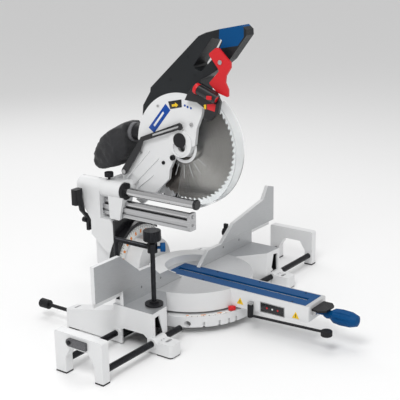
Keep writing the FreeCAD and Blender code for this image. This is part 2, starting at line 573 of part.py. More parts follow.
def make_handle():
    """D handle in two shells with a grip sleeve, trigger, lock-off button and guard lever."""
    opening = prism("x", [(-92, 772), (-122, 768), (-103, 731), (-62, 684), (-34, 694)], -60, 60)
    opening = soften(opening, 6, along("x"))
    blue = prism("x", [(-112, 830), (-176, 830), (-185, 798), (-185, 779), (-167, 756), (-108, 745)], -60, 60)
    room = cyl("x", guard_r + 2, -plate_in + 0.2, plate_in - 0.2, blade_y, blade_z)
    half_plan = [(-handle_half, 200), (-handle_half, -66), (-grip_half, -110), (-grip_half, -260)]
    plan = prism("z", half_plan + [(-x, y) for x, y in reversed(half_plan)], 500, 850)
    solid = prism("x", handle_outline(), -handle_half, handle_half).common(plan)
    solid = solid.cut(cyl("x", cover_r, -60, 60, blade_y, blade_z)).cut(room).cut(opening)
    trigger_slot = prism("x", [(-112, 770), (-128, 760), (-113, 727), (-94, 738)], -8.5, 8.5)
    solid = solid.cut(trigger_slot)
    button_y, button_z = 46.0, 683.0
    way = V(0, 0.67, 0.74)
    bore = Part.makeCylinder(7 + running, 14, V(0, button_y, button_z) - way * 8, way)
    solid = solid.cut(bore)
    grip = solid.common(blue)
    shell = solid.cut(blue)
    parts["handle_left"] = shell.common(box(-60, 0, -300, 300, 0, 1000))
    parts["handle_right"] = shell.common(box(0, 60, -300, 300, 0, 1000))
    parts["grip_sleeve"] = grip
    trigger = prism("x", [(-121, 760), (-105, 733), (-97, 739), (-112, 765)], -8, 8)
    parts["trigger"] = trigger
    parts["lock_off_button"] = Part.makeCylinder(7, 10, V(0, button_y, button_z) - way * 4, way)
    lever = prism("x", [(-93, 734), (-115, 750), (-124, 749), (-160, 715), (-160, 702), (-145, 680),
                  (-143, 663),
                        (-152, 646), (-152, 626), (-119, 635), (-92, 658), (-124, 691), (-120, 699),
                        (-95, 728)],
                  -40, -34)
    pin_y, pin_z = lever_pin_y, lever_pin_z
    lever = soften(lever, 3, along("x"))
    parts["guard_lever"] = lever.cut(cyl("x", 3 + running, -60, 0, pin_y, pin_z))
    lever_pin = fuse(cyl("x", 3, -42, -grip_half, pin_y, pin_z), cyl("x", 6, -42, -40 - gap, pin_y, pin_z),
                     cyl("x", 6, -34 + gap, -grip_half, pin_y, pin_z))
    link_y, link_z = link_pivot
    link_pin = fuse(cyl("x", 4, -46.5, -plate_out, link_y, link_z),
                    cyl("x", 8, -41.5 + gap, -plate_out, link_y, link_z),
                    cyl("x", 6.5, -46.5, -45 - gap, link_y, link_z))
    parts["guard_pins"] = group(lever_pin, link_pin)


def make_head_trim():
    """Laser and light unit, dust outlet and bag."""
    outline = [(-20, 609), (-30, 627), (-49, 651), (-66, 658), (-120, 638), (-134, 613), (-127, 584),
               (-101, 561),
               (-81, 566), (-86, 592), (-60, 606)]
    unit = prism("x", outline, -52, -41)
    mount = prism("x", [(-20, 609), (-36, 642), (-60, 624), (-48, 607)], -41, -plate_out)
    aim = V(0, -0.936, -0.351)
    barrel = Part.makeCylinder(13, 70, V(barrel_x, -62, 645), aim)
    body = fuse(soften(unit, 2.5, lambda e: e.CenterOfMass.x < -51.5), mount, barrel)
    lens = Part.makeCylinder(9, 3, V(barrel_x, -62, 645) + aim * 68, aim)
    well = rounded_box(barrel_x - 16, barrel_x - 9.7, -120 - gap, -104 + gap, 621 - gap, 631 + gap, "x", 2)
    parts["laser_unit"] = body.cut(lens).cut(well)
    parts["laser_button"] = rounded_box(barrel_x - 14.4, barrel_x - 11.2, -120, -104, 621, 631, "x", 2)
    port_z, bag_half, bag_wide = 491.0, 40.0, 58.0
    chute = tube("y", 18, 23, 165, 196, 0, port_z)
    collar = box(-plate_in, plate_in, 148, 168, port_z - 21, port_z + 21)
    chute = fuse(chute, collar).cut(cyl("y", 18, 100, 200, 0, port_z))
    parts["dust_chute"] = chute.cut(cyl("x", blade_r + 4, -5, 5, blade_y, blade_z))
    bag = prism("x", [(196 + gap, 528), (240, 506), (286, 474), (316, 424), (316, 382), (290, 374),
                                    (232, 390), (196 + gap, 432)], -bag_wide, bag_wide)
    neck = [(-bag_half, 190), (-bag_half, 222), (-bag_wide, 240), (-bag_wide, 330)]
    bag_plan = prism("z", neck + [(-x, y) for x, y in reversed(neck)], 360, 540)
    parts["dust_bag"] = bag.common(bag_plan)


def make_blade():
    """Toothed blade on its arbor, between two flanges."""
    points = []
    for i in range(blade_teeth):
        t0 = 2 * pi * i / blade_teeth
        step = 2 * pi / blade_teeth
        for part, r in ((0.0, blade_r), (0.30, blade_r - 2.2), (0.72, blade_r - tooth_depth), (0.93,
                        blade_r - tooth_depth)):
            t = t0 + part * step
            points.append((blade_y + r * cos(t), blade_z + r * sin(t)))
    disc = prism("x", points, -blade_t / 2, blade_t / 2)
    parts["saw_blade"] = disc.cut(cyl("x", arbor_r, -9, 9, blade_y, blade_z))
    arbor = fuse(cyl("x", arbor_r, -blade_t / 2, blade_t / 2, blade_y, blade_z),
                 cyl("x", arbor_r - 3, blade_t / 2, gearcase_out - 4, blade_y, blade_z),
                 cyl("x", arbor_r - 5, -8, -blade_t / 2, blade_y, blade_z))
    parts["arbor"] = arbor
    bolt = prism("x", [(blade_y + 12 * cos(radians(60 * i)), blade_z + 12 * sin(radians(60 * i)))
                       for i in range(6)], -15, -8)
    parts["blade_flanges"] = group(tube("x", arbor_r - 3, 30, blade_t / 2, 6, blade_y, blade_z),
                                   tube("x", arbor_r - 5, 30, -6, -blade_t / 2, blade_y, blade_z), bolt)


def make_lower_guard():
    """Clear guard round the blade, open towards the chop hinge, and the link that lifts it."""
    start, end = 130.0, 280.0
    span = (-guard_half, guard_half)
    rim = sector(span, guard_r - guard_wall, guard_r, start, end, blade_y, blade_z)
    walls = []
    for x0, x1 in ((-guard_half, -guard_half + guard_wall), (guard_half - guard_wall, guard_half)):
        walls.append(sector((x0, x1), 56, guard_r, start, end, blade_y, blade_z))
        walls.append(tube("x", 44, 58, x0, x1, blade_y, blade_z))
    body = rim.multiFuse(walls).removeSplitter()
    parts["lower_guard"] = body
    rear = link_pivot
    arm = prism("x", [(138, 490), (150, 472), (8, 524), (0, 524), (-6, 530), (-4, 540), (4, 544)], -45, -41.5)
    leg = prism("x", [(138, 490), (150, 472), (212, 388), (206, 374), (196, 376), (142, 452), (130,
                480)], -45, -41.5)
    slot = prism("x", [(100, 496), (8, 530), (6, 536), (98, 502)], -50, -38)
    link = fuse(arm, leg, cyl("x", 9, -45, -41.5, rear[0], rear[1])).cut(slot)
    parts["guard_link"] = link.cut(cyl("x", 4 + running, -60, 0, rear[0], rear[1]))


# ---- extension supports and hold-down clamp ----------------------------
def make_support(side):
    """Extension support on two rods, with a flip-up length stop in its top bar."""
    x0, x1 = stand_x - stand_t / 2, stand_x + stand_t / 2
    name = "left" if side < 0 else "right"
    outer = prism("x", [(-108, 0), (-82, 0), (-82, 46), (-64, 74), (-6, 74), (12, 46), (12, 0), (46, 0),
                  (46, stand_top),
                        (-108, stand_top)], x0, x1)
    outer = soften(outer, 5, lambda e: along("x")(e) and e.CenterOfMass.z > stand_top - 1)
    body = outer
    for y in (rod_front_y, rod_back_y):
        body = body.cut(cyl("x", rod_r, x0 - 1, x1 - 6, y, rod_z))
    rods = [cyl("x", rod_r, rod_inner, x1 - 6, y, rod_z) for y in (rod_front_y, rod_back_y)]
    stop_y, stop_z, stop_t = -8.0, 91.0, 7.0
    stop = fuse(box(x1 + gap, x1 + stop_t, -62, stop_y, stop_z - 10, stop_z + 10),
                cyl("x", 10, x1 + gap, x1 + stop_t, stop_y, stop_z))
    stop = stop.cut(cyl("x", 3 + running, x1 - 5, x1 + 20, stop_y, stop_z))
    pin = fuse(cyl("x", 3, x1 - 8, x1 + stop_t + 2, stop_y, stop_z),
               cyl("x", 5.5, x1 + stop_t + gap, x1 + stop_t + 2, stop_y, stop_z))
    body = body.cut(cyl("x", 3, x1 - 8, x1 + 1, stop_y, stop_z))
    made = {"support_stand": body, "support_rods": group(pin, *rods), "length_stop": stop}
    for part, shape in made.items():
        parts[f"{name}_{part}"] = mirror(shape) if side < 0 else shape


def make_clamp():
    """Hold-down clamp: a bent bar in a socket behind the left fence, and its screw."""
    post_x, post_y = -292.0, 25.0
    screw_x, screw_y = -252.0, -61.0
    bar_z, joint_z, knob_low, knob_top = 284.0, 266.0, 286.0, 313.0
    bar_r, screw_r, pad_r = 6.5, 6.3, 24.0
    corner = V(post_x, post_y, bar_z)
    joint = V(screw_x, screw_y, joint_z)
    run = joint - corner
    post = cyl("z", bar_r, table_z - 8, bar_z, post_x, post_y)
    bar = Part.makeCylinder(bar_r, run.Length - 9, corner, run)
    head = cyl("z", 13, joint_z - 12, joint_z + 12, screw_x, screw_y)
    bracket = fuse(post, Part.makeSphere(bar_r, corner), bar, head)
    bracket = bracket.cut(cyl("z", screw_r + running, joint_z - 20, joint_z + 20, screw_x, screw_y))
    screw = fuse(cyl("z", screw_r, table_z + 4, knob_low, screw_x, screw_y),
                 fluted("z", 23, knob_low, knob_top, screw_x, screw_y, 16, 1.6))
    parts["clamp_screw"] = screw
    pad = fuse(cyl("z", pad_r, table_z + 1, table_z + 6, screw_x, screw_y),
               cyl("z", 12, table_z + 6, 122, screw_x, screw_y))
    parts["clamp_pad"] = pad.cut(cyl("z", screw_r, table_z + 4, 130, screw_x, screw_y))
    way = V(0.66, -0.75, 0)
    way.normalize()
    stem = Part.makeCylinder(4, 16, joint + way * 8, way)
    knob = Part.makeCylinder(12, 13, joint + way * 20, way)
    parts["clamp_lock_knob"] = fuse(stem, soften(knob, 2, lambda e: e.Curve.TypeId == "Part::GeomCircle"))
    parts["clamp_bar"] = bracket.cut(Part.makeCylinder(4 + running, 8, joint + way * 7, way))


def make_rear_screw():
    """Long thumbscrew out of the back of the left wing."""
    x, z = -288.0, 42.0
    rod = cyl("y", 5, wing_back - 18, 284, x, z)
    knob = fluted("y", 13, 284, 316, x, z, 12, 1.4)
    parts["rear_thumbscrew"] = fuse(rod, knob)


make_base()
make_turntable()
make_arm_controls()
make_fences()
make_column()
make_carriage()
make_head()
make_handle()
make_head_trim()
make_blade()
make_lower_guard()
for hand in (-1, 1):
    make_support(hand)
make_clamp()
make_rear_screw()

parts["base_casting"] = parts["base_casting"].cut(
    cyl("y", 5 + running, wing_back - 20, 400, -288, 42)).cut(cyl("z", 6.5 + running, table_z - 9, 200,
                                                              -292, 25))
parts["fixed_fence"] = parts["fixed_fence"].cut(cyl("z", 6.5 + running, 0, 400, -292, 25))

# The finished frame has its origin at the centre of the four bench slots.
bench_shift = V(0, -(bench_front + bench_rear) / 2, 0)
for name, shape in parts.items():
    shape.translate(bench_shift)
    shape.exportStep(f"parts/{name}.step")
    solids = shape.Solids
    print(f"{name:22s} solids {len(solids)}  valid {shape.isValid()}  volume {shape.Volume / 1000:.1f} cm3")
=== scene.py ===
"""Looks of a sliding mitre saw with side supports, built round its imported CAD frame."""
import json
import logging
import math
from dataclasses import dataclass
from enum import Enum
from typing import Callable, Iterable, Sequence

import bpy
from mathutils import Matrix, Vector, noise

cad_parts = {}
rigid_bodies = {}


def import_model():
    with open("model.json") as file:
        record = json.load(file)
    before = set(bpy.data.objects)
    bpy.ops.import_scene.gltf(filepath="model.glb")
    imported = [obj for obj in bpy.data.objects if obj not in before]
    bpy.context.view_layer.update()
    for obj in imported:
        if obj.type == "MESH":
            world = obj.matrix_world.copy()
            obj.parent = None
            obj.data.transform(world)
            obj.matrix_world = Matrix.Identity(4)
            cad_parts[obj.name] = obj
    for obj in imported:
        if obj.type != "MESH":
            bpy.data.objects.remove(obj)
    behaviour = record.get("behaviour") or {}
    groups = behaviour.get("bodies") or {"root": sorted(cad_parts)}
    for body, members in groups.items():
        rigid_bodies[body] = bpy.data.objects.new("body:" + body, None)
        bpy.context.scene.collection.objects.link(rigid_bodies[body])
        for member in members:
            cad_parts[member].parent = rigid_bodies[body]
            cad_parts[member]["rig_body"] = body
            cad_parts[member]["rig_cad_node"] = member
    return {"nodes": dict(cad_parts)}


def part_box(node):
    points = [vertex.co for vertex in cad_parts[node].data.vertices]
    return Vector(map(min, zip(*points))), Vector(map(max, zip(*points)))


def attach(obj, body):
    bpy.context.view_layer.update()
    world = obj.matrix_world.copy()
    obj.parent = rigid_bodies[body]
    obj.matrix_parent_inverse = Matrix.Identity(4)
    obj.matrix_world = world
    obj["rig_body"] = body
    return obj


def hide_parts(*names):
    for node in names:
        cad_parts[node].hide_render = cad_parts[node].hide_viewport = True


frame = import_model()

log = logging.getLogger("mitre_saw")
Point2 = tuple[float, float]
Point3 = tuple[float, float, float]
Colour = Point3
SHARP = math.radians(35)  # edges that turn by more are rounded and shaded sharp


class Axis(Enum):
    """Direction that a piece is extruded along."""

    X = 0
    Y = 1
    Z = 2

    def place(self, u: float, v: float, t: float) -> Vector:
        """A point from its two coordinates across the axis and its place along it.

        Args:
            u: First coordinate across the axis.
            v: Second coordinate across the axis.
            t: Place along the axis.

        Returns:
            The point in the row frame.
        """
        across = [u, v]
        across.insert(self.value, t)
        return Vector(across)


# ---- modelling helpers --------------------------------------------------
def deselect() -> None:
    """Leave edit mode and clear the selection."""
    if bpy.context.object and bpy.context.object.mode != "OBJECT":
        bpy.ops.object.mode_set(mode="OBJECT")
    bpy.ops.object.select_all(action="DESELECT")


def apply_modifier(piece: bpy.types.Object, kind: str, **values: object) -> None:
    """Add a modifier, set it and apply it.

    Args:
        piece: The object that gets it.
        kind: Blender's name of the modifier's type.
        values: The modifier's settings.
    """
    modifier = piece.modifiers.new(kind.title(), kind)
    for key, value in values.items():
        setattr(modifier, key, value)
    bpy.context.view_layer.objects.active = piece
    bpy.ops.object.modifier_apply(modifier=modifier.name)


def finish_edges(piece: bpy.types.Object, bevel: float, steps: int = 2) -> None:
    """Round the sharp edges and shade by angle.

    Args:
        piece: The object to finish.
        bevel: Width of the rounding, in metres.
        steps: Segments in the rounding.
    """
    deselect()
    piece.select_set(True)
    bpy.context.view_layer.objects.active = piece
    if bevel > 0:
        apply_modifier(piece, "BEVEL", width=bevel, segments=steps, limit_method="ANGLE",
                       angle_limit=SHARP)
    bpy.ops.object.shade_smooth_by_angle(angle=SHARP)


def outline_piece(name: str, axis: Axis, points: Sequence[Point2], low: float, high: float,
                  bevel: float = 0.0) -> bpy.types.Object:
    """A flat outline extruded along an axis, with its edges rounded.

    Args:
        name: Name of the piece.
        axis: Direction of the extrusion.
        points: The outline, across the axis.
        low: Where the extrusion starts.
        high: Where it ends.
        bevel: Width of the edge rounding.

    Returns:
        The finished object, at the origin.
    """
    deselect()
    bpy.ops.mesh.primitive_circle_add(vertices=len(points), radius=1.0, fill_type="NGON")
    piece = bpy.context.object
    piece.name = name
    for vertex, (u, v) in zip(piece.data.vertices, points):
        vertex.co = axis.place(u, v, low)
    bpy.ops.object.mode_set(mode="EDIT")
    bpy.ops.mesh.select_all(action="SELECT")
    way = axis.place(0.0, 0.0, high - low)
    bpy.ops.mesh.extrude_region_move(TRANSFORM_OT_translate={"value": way})
    bpy.ops.mesh.select_all(action="SELECT")
    bpy.ops.mesh.normals_make_consistent(inside=False)
    bpy.ops.object.mode_set(mode="OBJECT")
    finish_edges(piece, bevel)
    return piece


def arc(centre: Point2, radius: float, start: float, end: float, steps: int) -> list[Point2]:
    """Points on an arc, with its angles in degrees.

    Args:
        centre: Centre of the arc.
        radius: Its radius.
        start: First angle.
        end: Last angle.
        steps: Number of steps between them.

    Returns:
        The points from start to end.
    """
    turns = [math.radians(start + (end - start) * i / steps) for i in range(steps + 1)]
    return [(centre[0] + radius * math.cos(t), centre[1] + radius * math.sin(t)) for t in turns]


def round_piece(name: str, axis: Axis, centre: Point2, radius: float, low: float, high: float,
                bevel: float = 0.0, sides: int = 32) -> bpy.types.Object:
    """A round piece along an axis, such as a screw head or a knob.

    Args:
        name: Name of the piece.
        axis: Its direction.
        centre: Its place across the axis.
        radius: Its radius.
        low: Lower end along the axis.
        high: Upper end along the axis.
        bevel: Width of the rounded edge.
        sides: Number of flat sides.

    Returns:
        The finished piece.
    """
    ring = arc(centre, radius, 0, 360 - 360 / sides, sides - 1)
    return outline_piece(name, axis, ring, low, high, bevel)


def screw_piece(name: str, axis: Axis, centre: Point2, radius: float, low: float, high: float,
                outward: int) -> bpy.types.Object:
    """A screw head with a hexagon socket sunk into its outer face.

    Args:
        name: Name of the piece.
        axis: Direction of the screw.
        centre: Its place across the axis.
        radius: Radius of the head.
        low: Lower end along the axis.
        high: Upper end along the axis.
        outward: 1 or -1, the way its outer face looks.

    Returns:
        The finished screw head.
    """
    head = round_piece(name, axis, centre, radius, low, high, 0.0, 24)
    deselect()
    head.select_set(True)
    bpy.context.view_layer.objects.active = head
    normal = axis.place(0.0, 0.0, float(outward))
    for face in head.data.polygons:
        face.select = face.normal.dot(normal) > 0.9
    bpy.ops.object.mode_set(mode="EDIT")
    bpy.ops.mesh.select_mode(type="FACE")
    bpy.ops.mesh.inset(thickness=radius * 0.45, depth=0.0)
    bpy.ops.mesh.extrude_region_move(
        TRANSFORM_OT_translate={"value": normal * -min(0.6 * (high - low), radius * 0.5)})
    bpy.ops.object.mode_set(mode="OBJECT")
    finish_edges(head, min(radius * 0.12, 0.0005))
    return head


def join(name: str, pieces: Sequence[bpy.types.Object]) -> bpy.types.Object:
    """Several pieces as one object.

    Args:
        name: Name of the joined object.
        pieces: The pieces, of which the first keeps its materials first.

    Returns:
        The joined object.
    """
    deselect()
    for piece in pieces:
        piece.select_set(True)
    bpy.context.view_layer.objects.active = pieces[0]
    bpy.ops.object.join()
    pieces[0].name = name
    return pieces[0]


def rectangle(u: float, v: float, far_u: float, far_v: float) -> list[Point2]:
    """The outline of a rectangle.

    Args:
        u: First coordinate of one corner.
        v: Second coordinate of that corner.
        far_u: First coordinate of the opposite corner.
        far_v: Second coordinate of the opposite corner.

    Returns:
        Its four corners.
    """
    return [(u, v), (far_u, v), (far_u, far_v), (u, far_v)]


@dataclass(frozen=True)
class Skin:
    """A thin layer on a face that looks towards -X, given by offsets from the face."""

    outer: float
    inner: float
    bevel: float

    def patch(self, name: str, face: float, points: Sequence[Point2]) -> bpy.types.Object:
        """A flat piece in this layer.

        Args:
            name: Name of the piece.
            face: Place of the face along X.
            points: Its outline in Y and Z.

        Returns:
            The finished piece.
        """
        return outline_piece(name, Axis.X, points, face + self.outer, face + self.inner, self.bevel)

    def dot(self, name: str, face: float, centre: Point2, radius: float, sides: int) -> bpy.types.Object:
        """A round piece in this layer.

        Args:
            name: Name of the piece.
            face: Place of the face along X.
            centre: Its centre in Y and Z.
            radius: Its radius.
            sides: Number of flat sides.

        Returns:
            The finished piece.
        """
        return round_piece(name, Axis.X, centre, radius, face + self.outer, face + self.inner, self.bevel,
                           sides)


LABEL = Skin(-0.0006, 0.0002, 0.0002)  # a label, sunk a little into its face
BORDER = Skin(-0.0003, 0.0002, 0.0001)  # a plate that shows round a label's edge
DOT = Skin(-0.0006, 0.0002, 0.0001)  # a dot printed on the bare face
MARK = Skin(-0.0009, -0.0005, 0.0001)  # a mark printed over a label
THIN = Skin(-0.0005, 0.0002, 0.0002)  # a thinner label


# ---- node groups --------------------------------------------------------
SURFACE_OUTPUTS = {"Colour": "NodeSocketColor", "Roughness": "NodeSocketFloat", "Normal": "NodeSocketVector"}


def feed(tree: bpy.types.NodeTree, value: object, socket: bpy.types.NodeSocket) -> None:
    """Give a socket a plain value, or link another socket to it.

    Args:
        tree: The node tree that holds the socket.
        value: A number, a colour, a vector or an output socket.
        socket: The input socket that gets it.
    """
    if isinstance(value, (int, float, tuple)):
        socket.default_value = value
    else:
        tree.links.new(value, socket)


class GroupBuilder:
    """A shader node group with named inputs and outputs, built once."""

    def __init__(self, name: str, inputs: dict[str, object], outputs: dict[str, str]) -> None:
        """Make the group and its sockets.

        Args:
            name: Name of the group.
            inputs: Socket names with their start values.
            outputs: Socket names with their socket types.
        """
        self.tree = bpy.data.node_groups.new(name, "ShaderNodeTree")
        for key, value in inputs.items():
            kind = "NodeSocketFloat" if isinstance(value, (int, float)) else (
                "NodeSocketColor" if len(value) == 4 else "NodeSocketVector")
            socket = self.tree.interface.new_socket(key, in_out="INPUT", socket_type=kind)
            socket.default_value = value
        for key, kind in outputs.items():
            self.tree.interface.new_socket(key, in_out="OUTPUT", socket_type=kind)
        self.inlets = self.tree.nodes.new("NodeGroupInput").outputs
        self.outlets = self.tree.nodes.new("NodeGroupOutput").inputs
        self.place = self.node("ShaderNodeTexCoord").outputs["Object"]

    def node(self, kind: str, **values: object) -> bpy.types.Node:
        """A node with its properties set.

        Args:
            kind: Type of the node.
            values: Its settings, by name.

        Returns:
            The node.
        """
        made = self.tree.nodes.new(kind)
        for key, value in values.items():
            setattr(made, key, value)
        return made

    def math(self, operation: str, *values: object) -> bpy.types.NodeSocket:
        """A Math node.

        Args:
            operation: Blender's name of the operation.
            values: Its one or two operands, sockets or numbers.

        Returns:
            The result's socket.
        """
        made = self.node("ShaderNodeMath", operation=operation)
        for value, socket in zip(values, made.inputs):
            feed(self.tree, value, socket)
        return made.outputs[0]

    def vector(self, operation: str, *values: object) -> bpy.types.NodeSocket:
        """A Vector Math node.

        Args:
            operation: Blender's name of the operation.
            values: Its one or two operands, sockets or vectors.

        Returns:
            The result's socket, which is a number for a length or a dot product.
        """
        made = self.node("ShaderNodeVectorMath", operation=operation)
        for value, socket in zip(values, made.inputs):
            feed(self.tree, value, socket)
        return made.outputs["Value" if operation in ("LENGTH", "DOT_PRODUCT") else "Vector"]

    def split(self, vector: bpy.types.NodeSocket) -> tuple[bpy.types.NodeSocket, ...]:
        """The parts of a vector.

        Args:
            vector: The vector's socket.

        Returns:
            The sockets of its X, Y and Z.
        """
        made = self.node("ShaderNodeSeparateXYZ")
        feed(self.tree, vector, made.inputs[0])
        return tuple(made.outputs)

    def noise(self, scale: object, detail: float,
              place: bpy.types.NodeSocket | None = None) -> bpy.types.NodeSocket:
        """Noise over the object's own coordinates.

        Args:
            scale: Its scale, a socket or a number.
            detail: Number of octaves.
            place: Other coordinates, if it doesn't use the object's.

        Returns:
            The noise's socket.
        """
        made = self.node("ShaderNodeTexNoise")
        feed(self.tree, detail, made.inputs["Detail"])
        feed(self.tree, scale, made.inputs["Scale"])
        feed(self.tree, self.place if place is None else place, made.inputs["Vector"])
        return made.outputs["Fac"]

    def bump(self, height: bpy.types.NodeSocket, strength: object, distance: float) -> bpy.types.NodeSocket:
        """A Bump node.

        Args:
            height: Socket of the height.
            strength: Its strength, a socket or a number.
            distance: Depth of the bumps, in metres.

        Returns:
            The normal's socket.
        """
        made = self.node("ShaderNodeBump")
        feed(self.tree, distance, made.inputs["Distance"])
        feed(self.tree, strength, made.inputs["Strength"])
        feed(self.tree, height, made.inputs["Height"])
        return made.outputs["Normal"]

    def blend(self, factor: bpy.types.NodeSocket, a: object, b: object) -> bpy.types.NodeSocket:
        """A colour mix of two sockets or colours.

        Args:
            factor: Socket of the mix factor.
            a: Colour at 0.
            b: Colour at 1.

        Returns:
            The mixed colour's socket.
        """
        made = self.node("ShaderNodeMix", data_type="RGBA")
        for value, socket in ((factor, 0), (a, 6), (b, 7)):
            feed(self.tree, value, made.inputs[socket])
        return made.outputs[2]

    def ramp(self, value: bpy.types.NodeSocket, low: float, high: float, to_low: float = 0.0,
             to_high: float = 1.0) -> bpy.types.NodeSocket:
        """A clamped Map Range node.

        Args:
            value: The socket to map.
            low: Value that maps to to_low.
            high: Value that maps to to_high.
            to_low: Result at the low end.
            to_high: Result at the high end.

        Returns:
            The mapped socket.
        """
        made = self.node("ShaderNodeMapRange", clamp=True)
        for key, given in (("Value", value), ("From Min", low), ("From Max", high), ("To Min", to_low),
                           ("To Max", to_high)):
            feed(self.tree, given, made.inputs[key])
        return made.outputs["Result"]

    def give(self, **results: bpy.types.NodeSocket) -> bpy.types.ShaderNodeTree:
        """Link the results to the group's outputs.

        Args:
            results: Sockets by the name of the output.

        Returns:
            The finished group.
        """
        for key, value in results.items():
            feed(self.tree, value, self.outlets[key])
        return self.tree


def surface_group() -> bpy.types.ShaderNodeTree:
    """Moulded or painted surface: fine grain in its normal and soft blotches in its colour.

    Returns:
        The group.
    """
    g = GroupBuilder("fine_surface", {
        "Colour": (0.8, 0.8, 0.8, 1.0), "Soiled": (0.6, 0.6, 0.58, 1.0), "Soiling": 0.2,
        "Grain Scale": 900.0, "Grain Height": 0.1, "Roughness": 0.4}, SURFACE_OUTPUTS)
    grain = g.noise(g.inlets["Grain Scale"], 3.0)
    blotch = g.noise(9.0, 5.0)
    amount = g.math("MULTIPLY", g.ramp(blotch, 0.42, 0.75), g.inlets["Soiling"])
    rough = g.ramp(blotch, 0.3, 0.7, -0.05, 0.08)
    return g.give(Colour=g.blend(amount, g.inlets["Colour"], g.inlets["Soiled"]),
                  Roughness=g.math("ADD", g.inlets["Roughness"], rough),
                  Normal=g.bump(grain, g.inlets["Grain Height"], 0.0004))


def brushed_group() -> bpy.types.ShaderNodeTree:
    """Metal with fine lines along one direction.

    Returns:
        The group.
    """
    g = GroupBuilder("brushed_lines", {
        "Colour": (0.6, 0.6, 0.62, 1.0), "Line Colour": (0.4, 0.4, 0.42, 1.0),
        "Stretch": (8.0, 900.0, 900.0), "Depth": 0.1, "Roughness": 0.3}, SURFACE_OUTPUTS)
    lines = g.noise(1.0, 4.0, g.vector("MULTIPLY", g.place, g.inlets["Stretch"]))
    rough = g.ramp(lines, 0.3, 0.7, 0.08, -0.05)
    return g.give(Colour=g.blend(g.ramp(lines, 0.3, 0.7), g.inlets["Line Colour"], g.inlets["Colour"]),
                  Roughness=g.math("ADD", g.inlets["Roughness"], rough),
                  Normal=g.bump(lines, g.inlets["Depth"], 0.0002))


def face_mask_group() -> bpy.types.ShaderNodeTree:
    """1 on flat faces that look along a direction and lie past a height on it, and 0 elsewhere.

    Returns:
        The group.
    """
    g = GroupBuilder("flat_face_mask", {"Direction": (0.0, 0.0, 1.0), "Level": 0.1},
                     {"Mask": "NodeSocketFloat"})
    normal = g.node("ShaderNodeNewGeometry").outputs["True Normal"]
    facing = g.vector("DOT_PRODUCT", normal, g.inlets["Direction"])
    level = g.vector("DOT_PRODUCT", g.place, g.inlets["Direction"])
    past = g.math("GREATER_THAN", level, g.inlets["Level"])
    return g.give(Mask=g.math("MULTIPLY", past, g.math("GREATER_THAN", facing, 0.97)))


def dial_group() -> bpy.types.ShaderNodeTree:
    """Tick marks of a round scale, counted about a centre in the plane of X and the chosen axis.

    Returns:
        The group.
    """
    g = GroupBuilder("dial_ticks", {"Up": (0.0, 0.0, 1.0), "Centre": (0.0, 0.0, 0.0), "Step": 5.0,
                                    "Width": 0.8, "From": 0.08, "To": 0.09}, {"Mask": "NodeSocketFloat"})
    from_centre = g.vector("SUBTRACT", g.place, g.inlets["Centre"])
    across = g.vector("DOT_PRODUCT", from_centre, (1.0, 0.0, 0.0))
    up = g.vector("DOT_PRODUCT", from_centre, g.inlets["Up"])
    angle = g.math("MULTIPLY", g.math("ARCTAN2", across, up), 180 / math.pi)
    reach = g.math("SQRT", g.math("ADD", g.math("MULTIPLY", across, across), g.math("MULTIPLY", up, up)))
    steps = g.math("DIVIDE", g.math("ADD", angle, 360.0), g.inlets["Step"])
    off = g.math("ABSOLUTE", g.math("SUBTRACT", g.math("FRACT", g.math("ADD", steps, 0.5)), 0.5))
    near = g.math("LESS_THAN", g.math("MULTIPLY", off, g.inlets["Step"]), g.inlets["Width"])
    inside = g.math("MULTIPLY", g.math("GREATER_THAN", reach, g.inlets["From"]),
                    g.math("LESS_THAN", reach, g.inlets["To"]))
    return g.give(Mask=g.math("MULTIPLY", near, inside))


def polar_group() -> bpy.types.ShaderNodeTree:
    """Ground disc: fine rings about a centre in the YZ plane, and soft fans of painted reflection, light and
    dark, round it.

    Returns:
        The group.
    """
    g = GroupBuilder("ground_disc_painted_reflections", {
        "Centre": (0.0, 0.0, 0.0), "Light": (0.8, 0.8, 0.82, 1.0), "Dark": (0.3, 0.3, 0.32, 1.0)},
        SURFACE_OUTPUTS)
    from_centre = g.vector("SUBTRACT", g.place, g.inlets["Centre"])
    _, y, z = g.split(from_centre)
    angle = g.math("ARCTAN2", z, y)
    noise_node = g.node("ShaderNodeTexNoise", noise_dimensions="1D")
    feed(g.tree, 2600.0, noise_node.inputs["Scale"])
    feed(g.tree, g.vector("LENGTH", from_centre), noise_node.inputs["W"])
    rings = noise_node.outputs["Fac"]
    # painted reflection: slow and fast waves round the angle make fans of light and dark that stand in for
    # glints on the steel
    slow = g.math("SINE", g.math("MULTIPLY", angle, 2.0))
    fast = g.math("SINE", g.math("MULTIPLY", angle, 5.0))
    painted_reflection_fans = g.ramp(g.math("ADD", slow, g.math("MULTIPLY", fast, 0.35)), -1.1, 1.2)
    shade = g.ramp(g.math("ADD", painted_reflection_fans, g.math("MULTIPLY", rings, 0.35)), 0.1, 1.25)
    return g.give(Colour=g.blend(shade, g.inlets["Dark"], g.inlets["Light"]),
                  Roughness=g.ramp(rings, 0.3, 0.7, 0.22, 0.34),
                  Normal=g.bump(rings, 0.12, 0.0002))


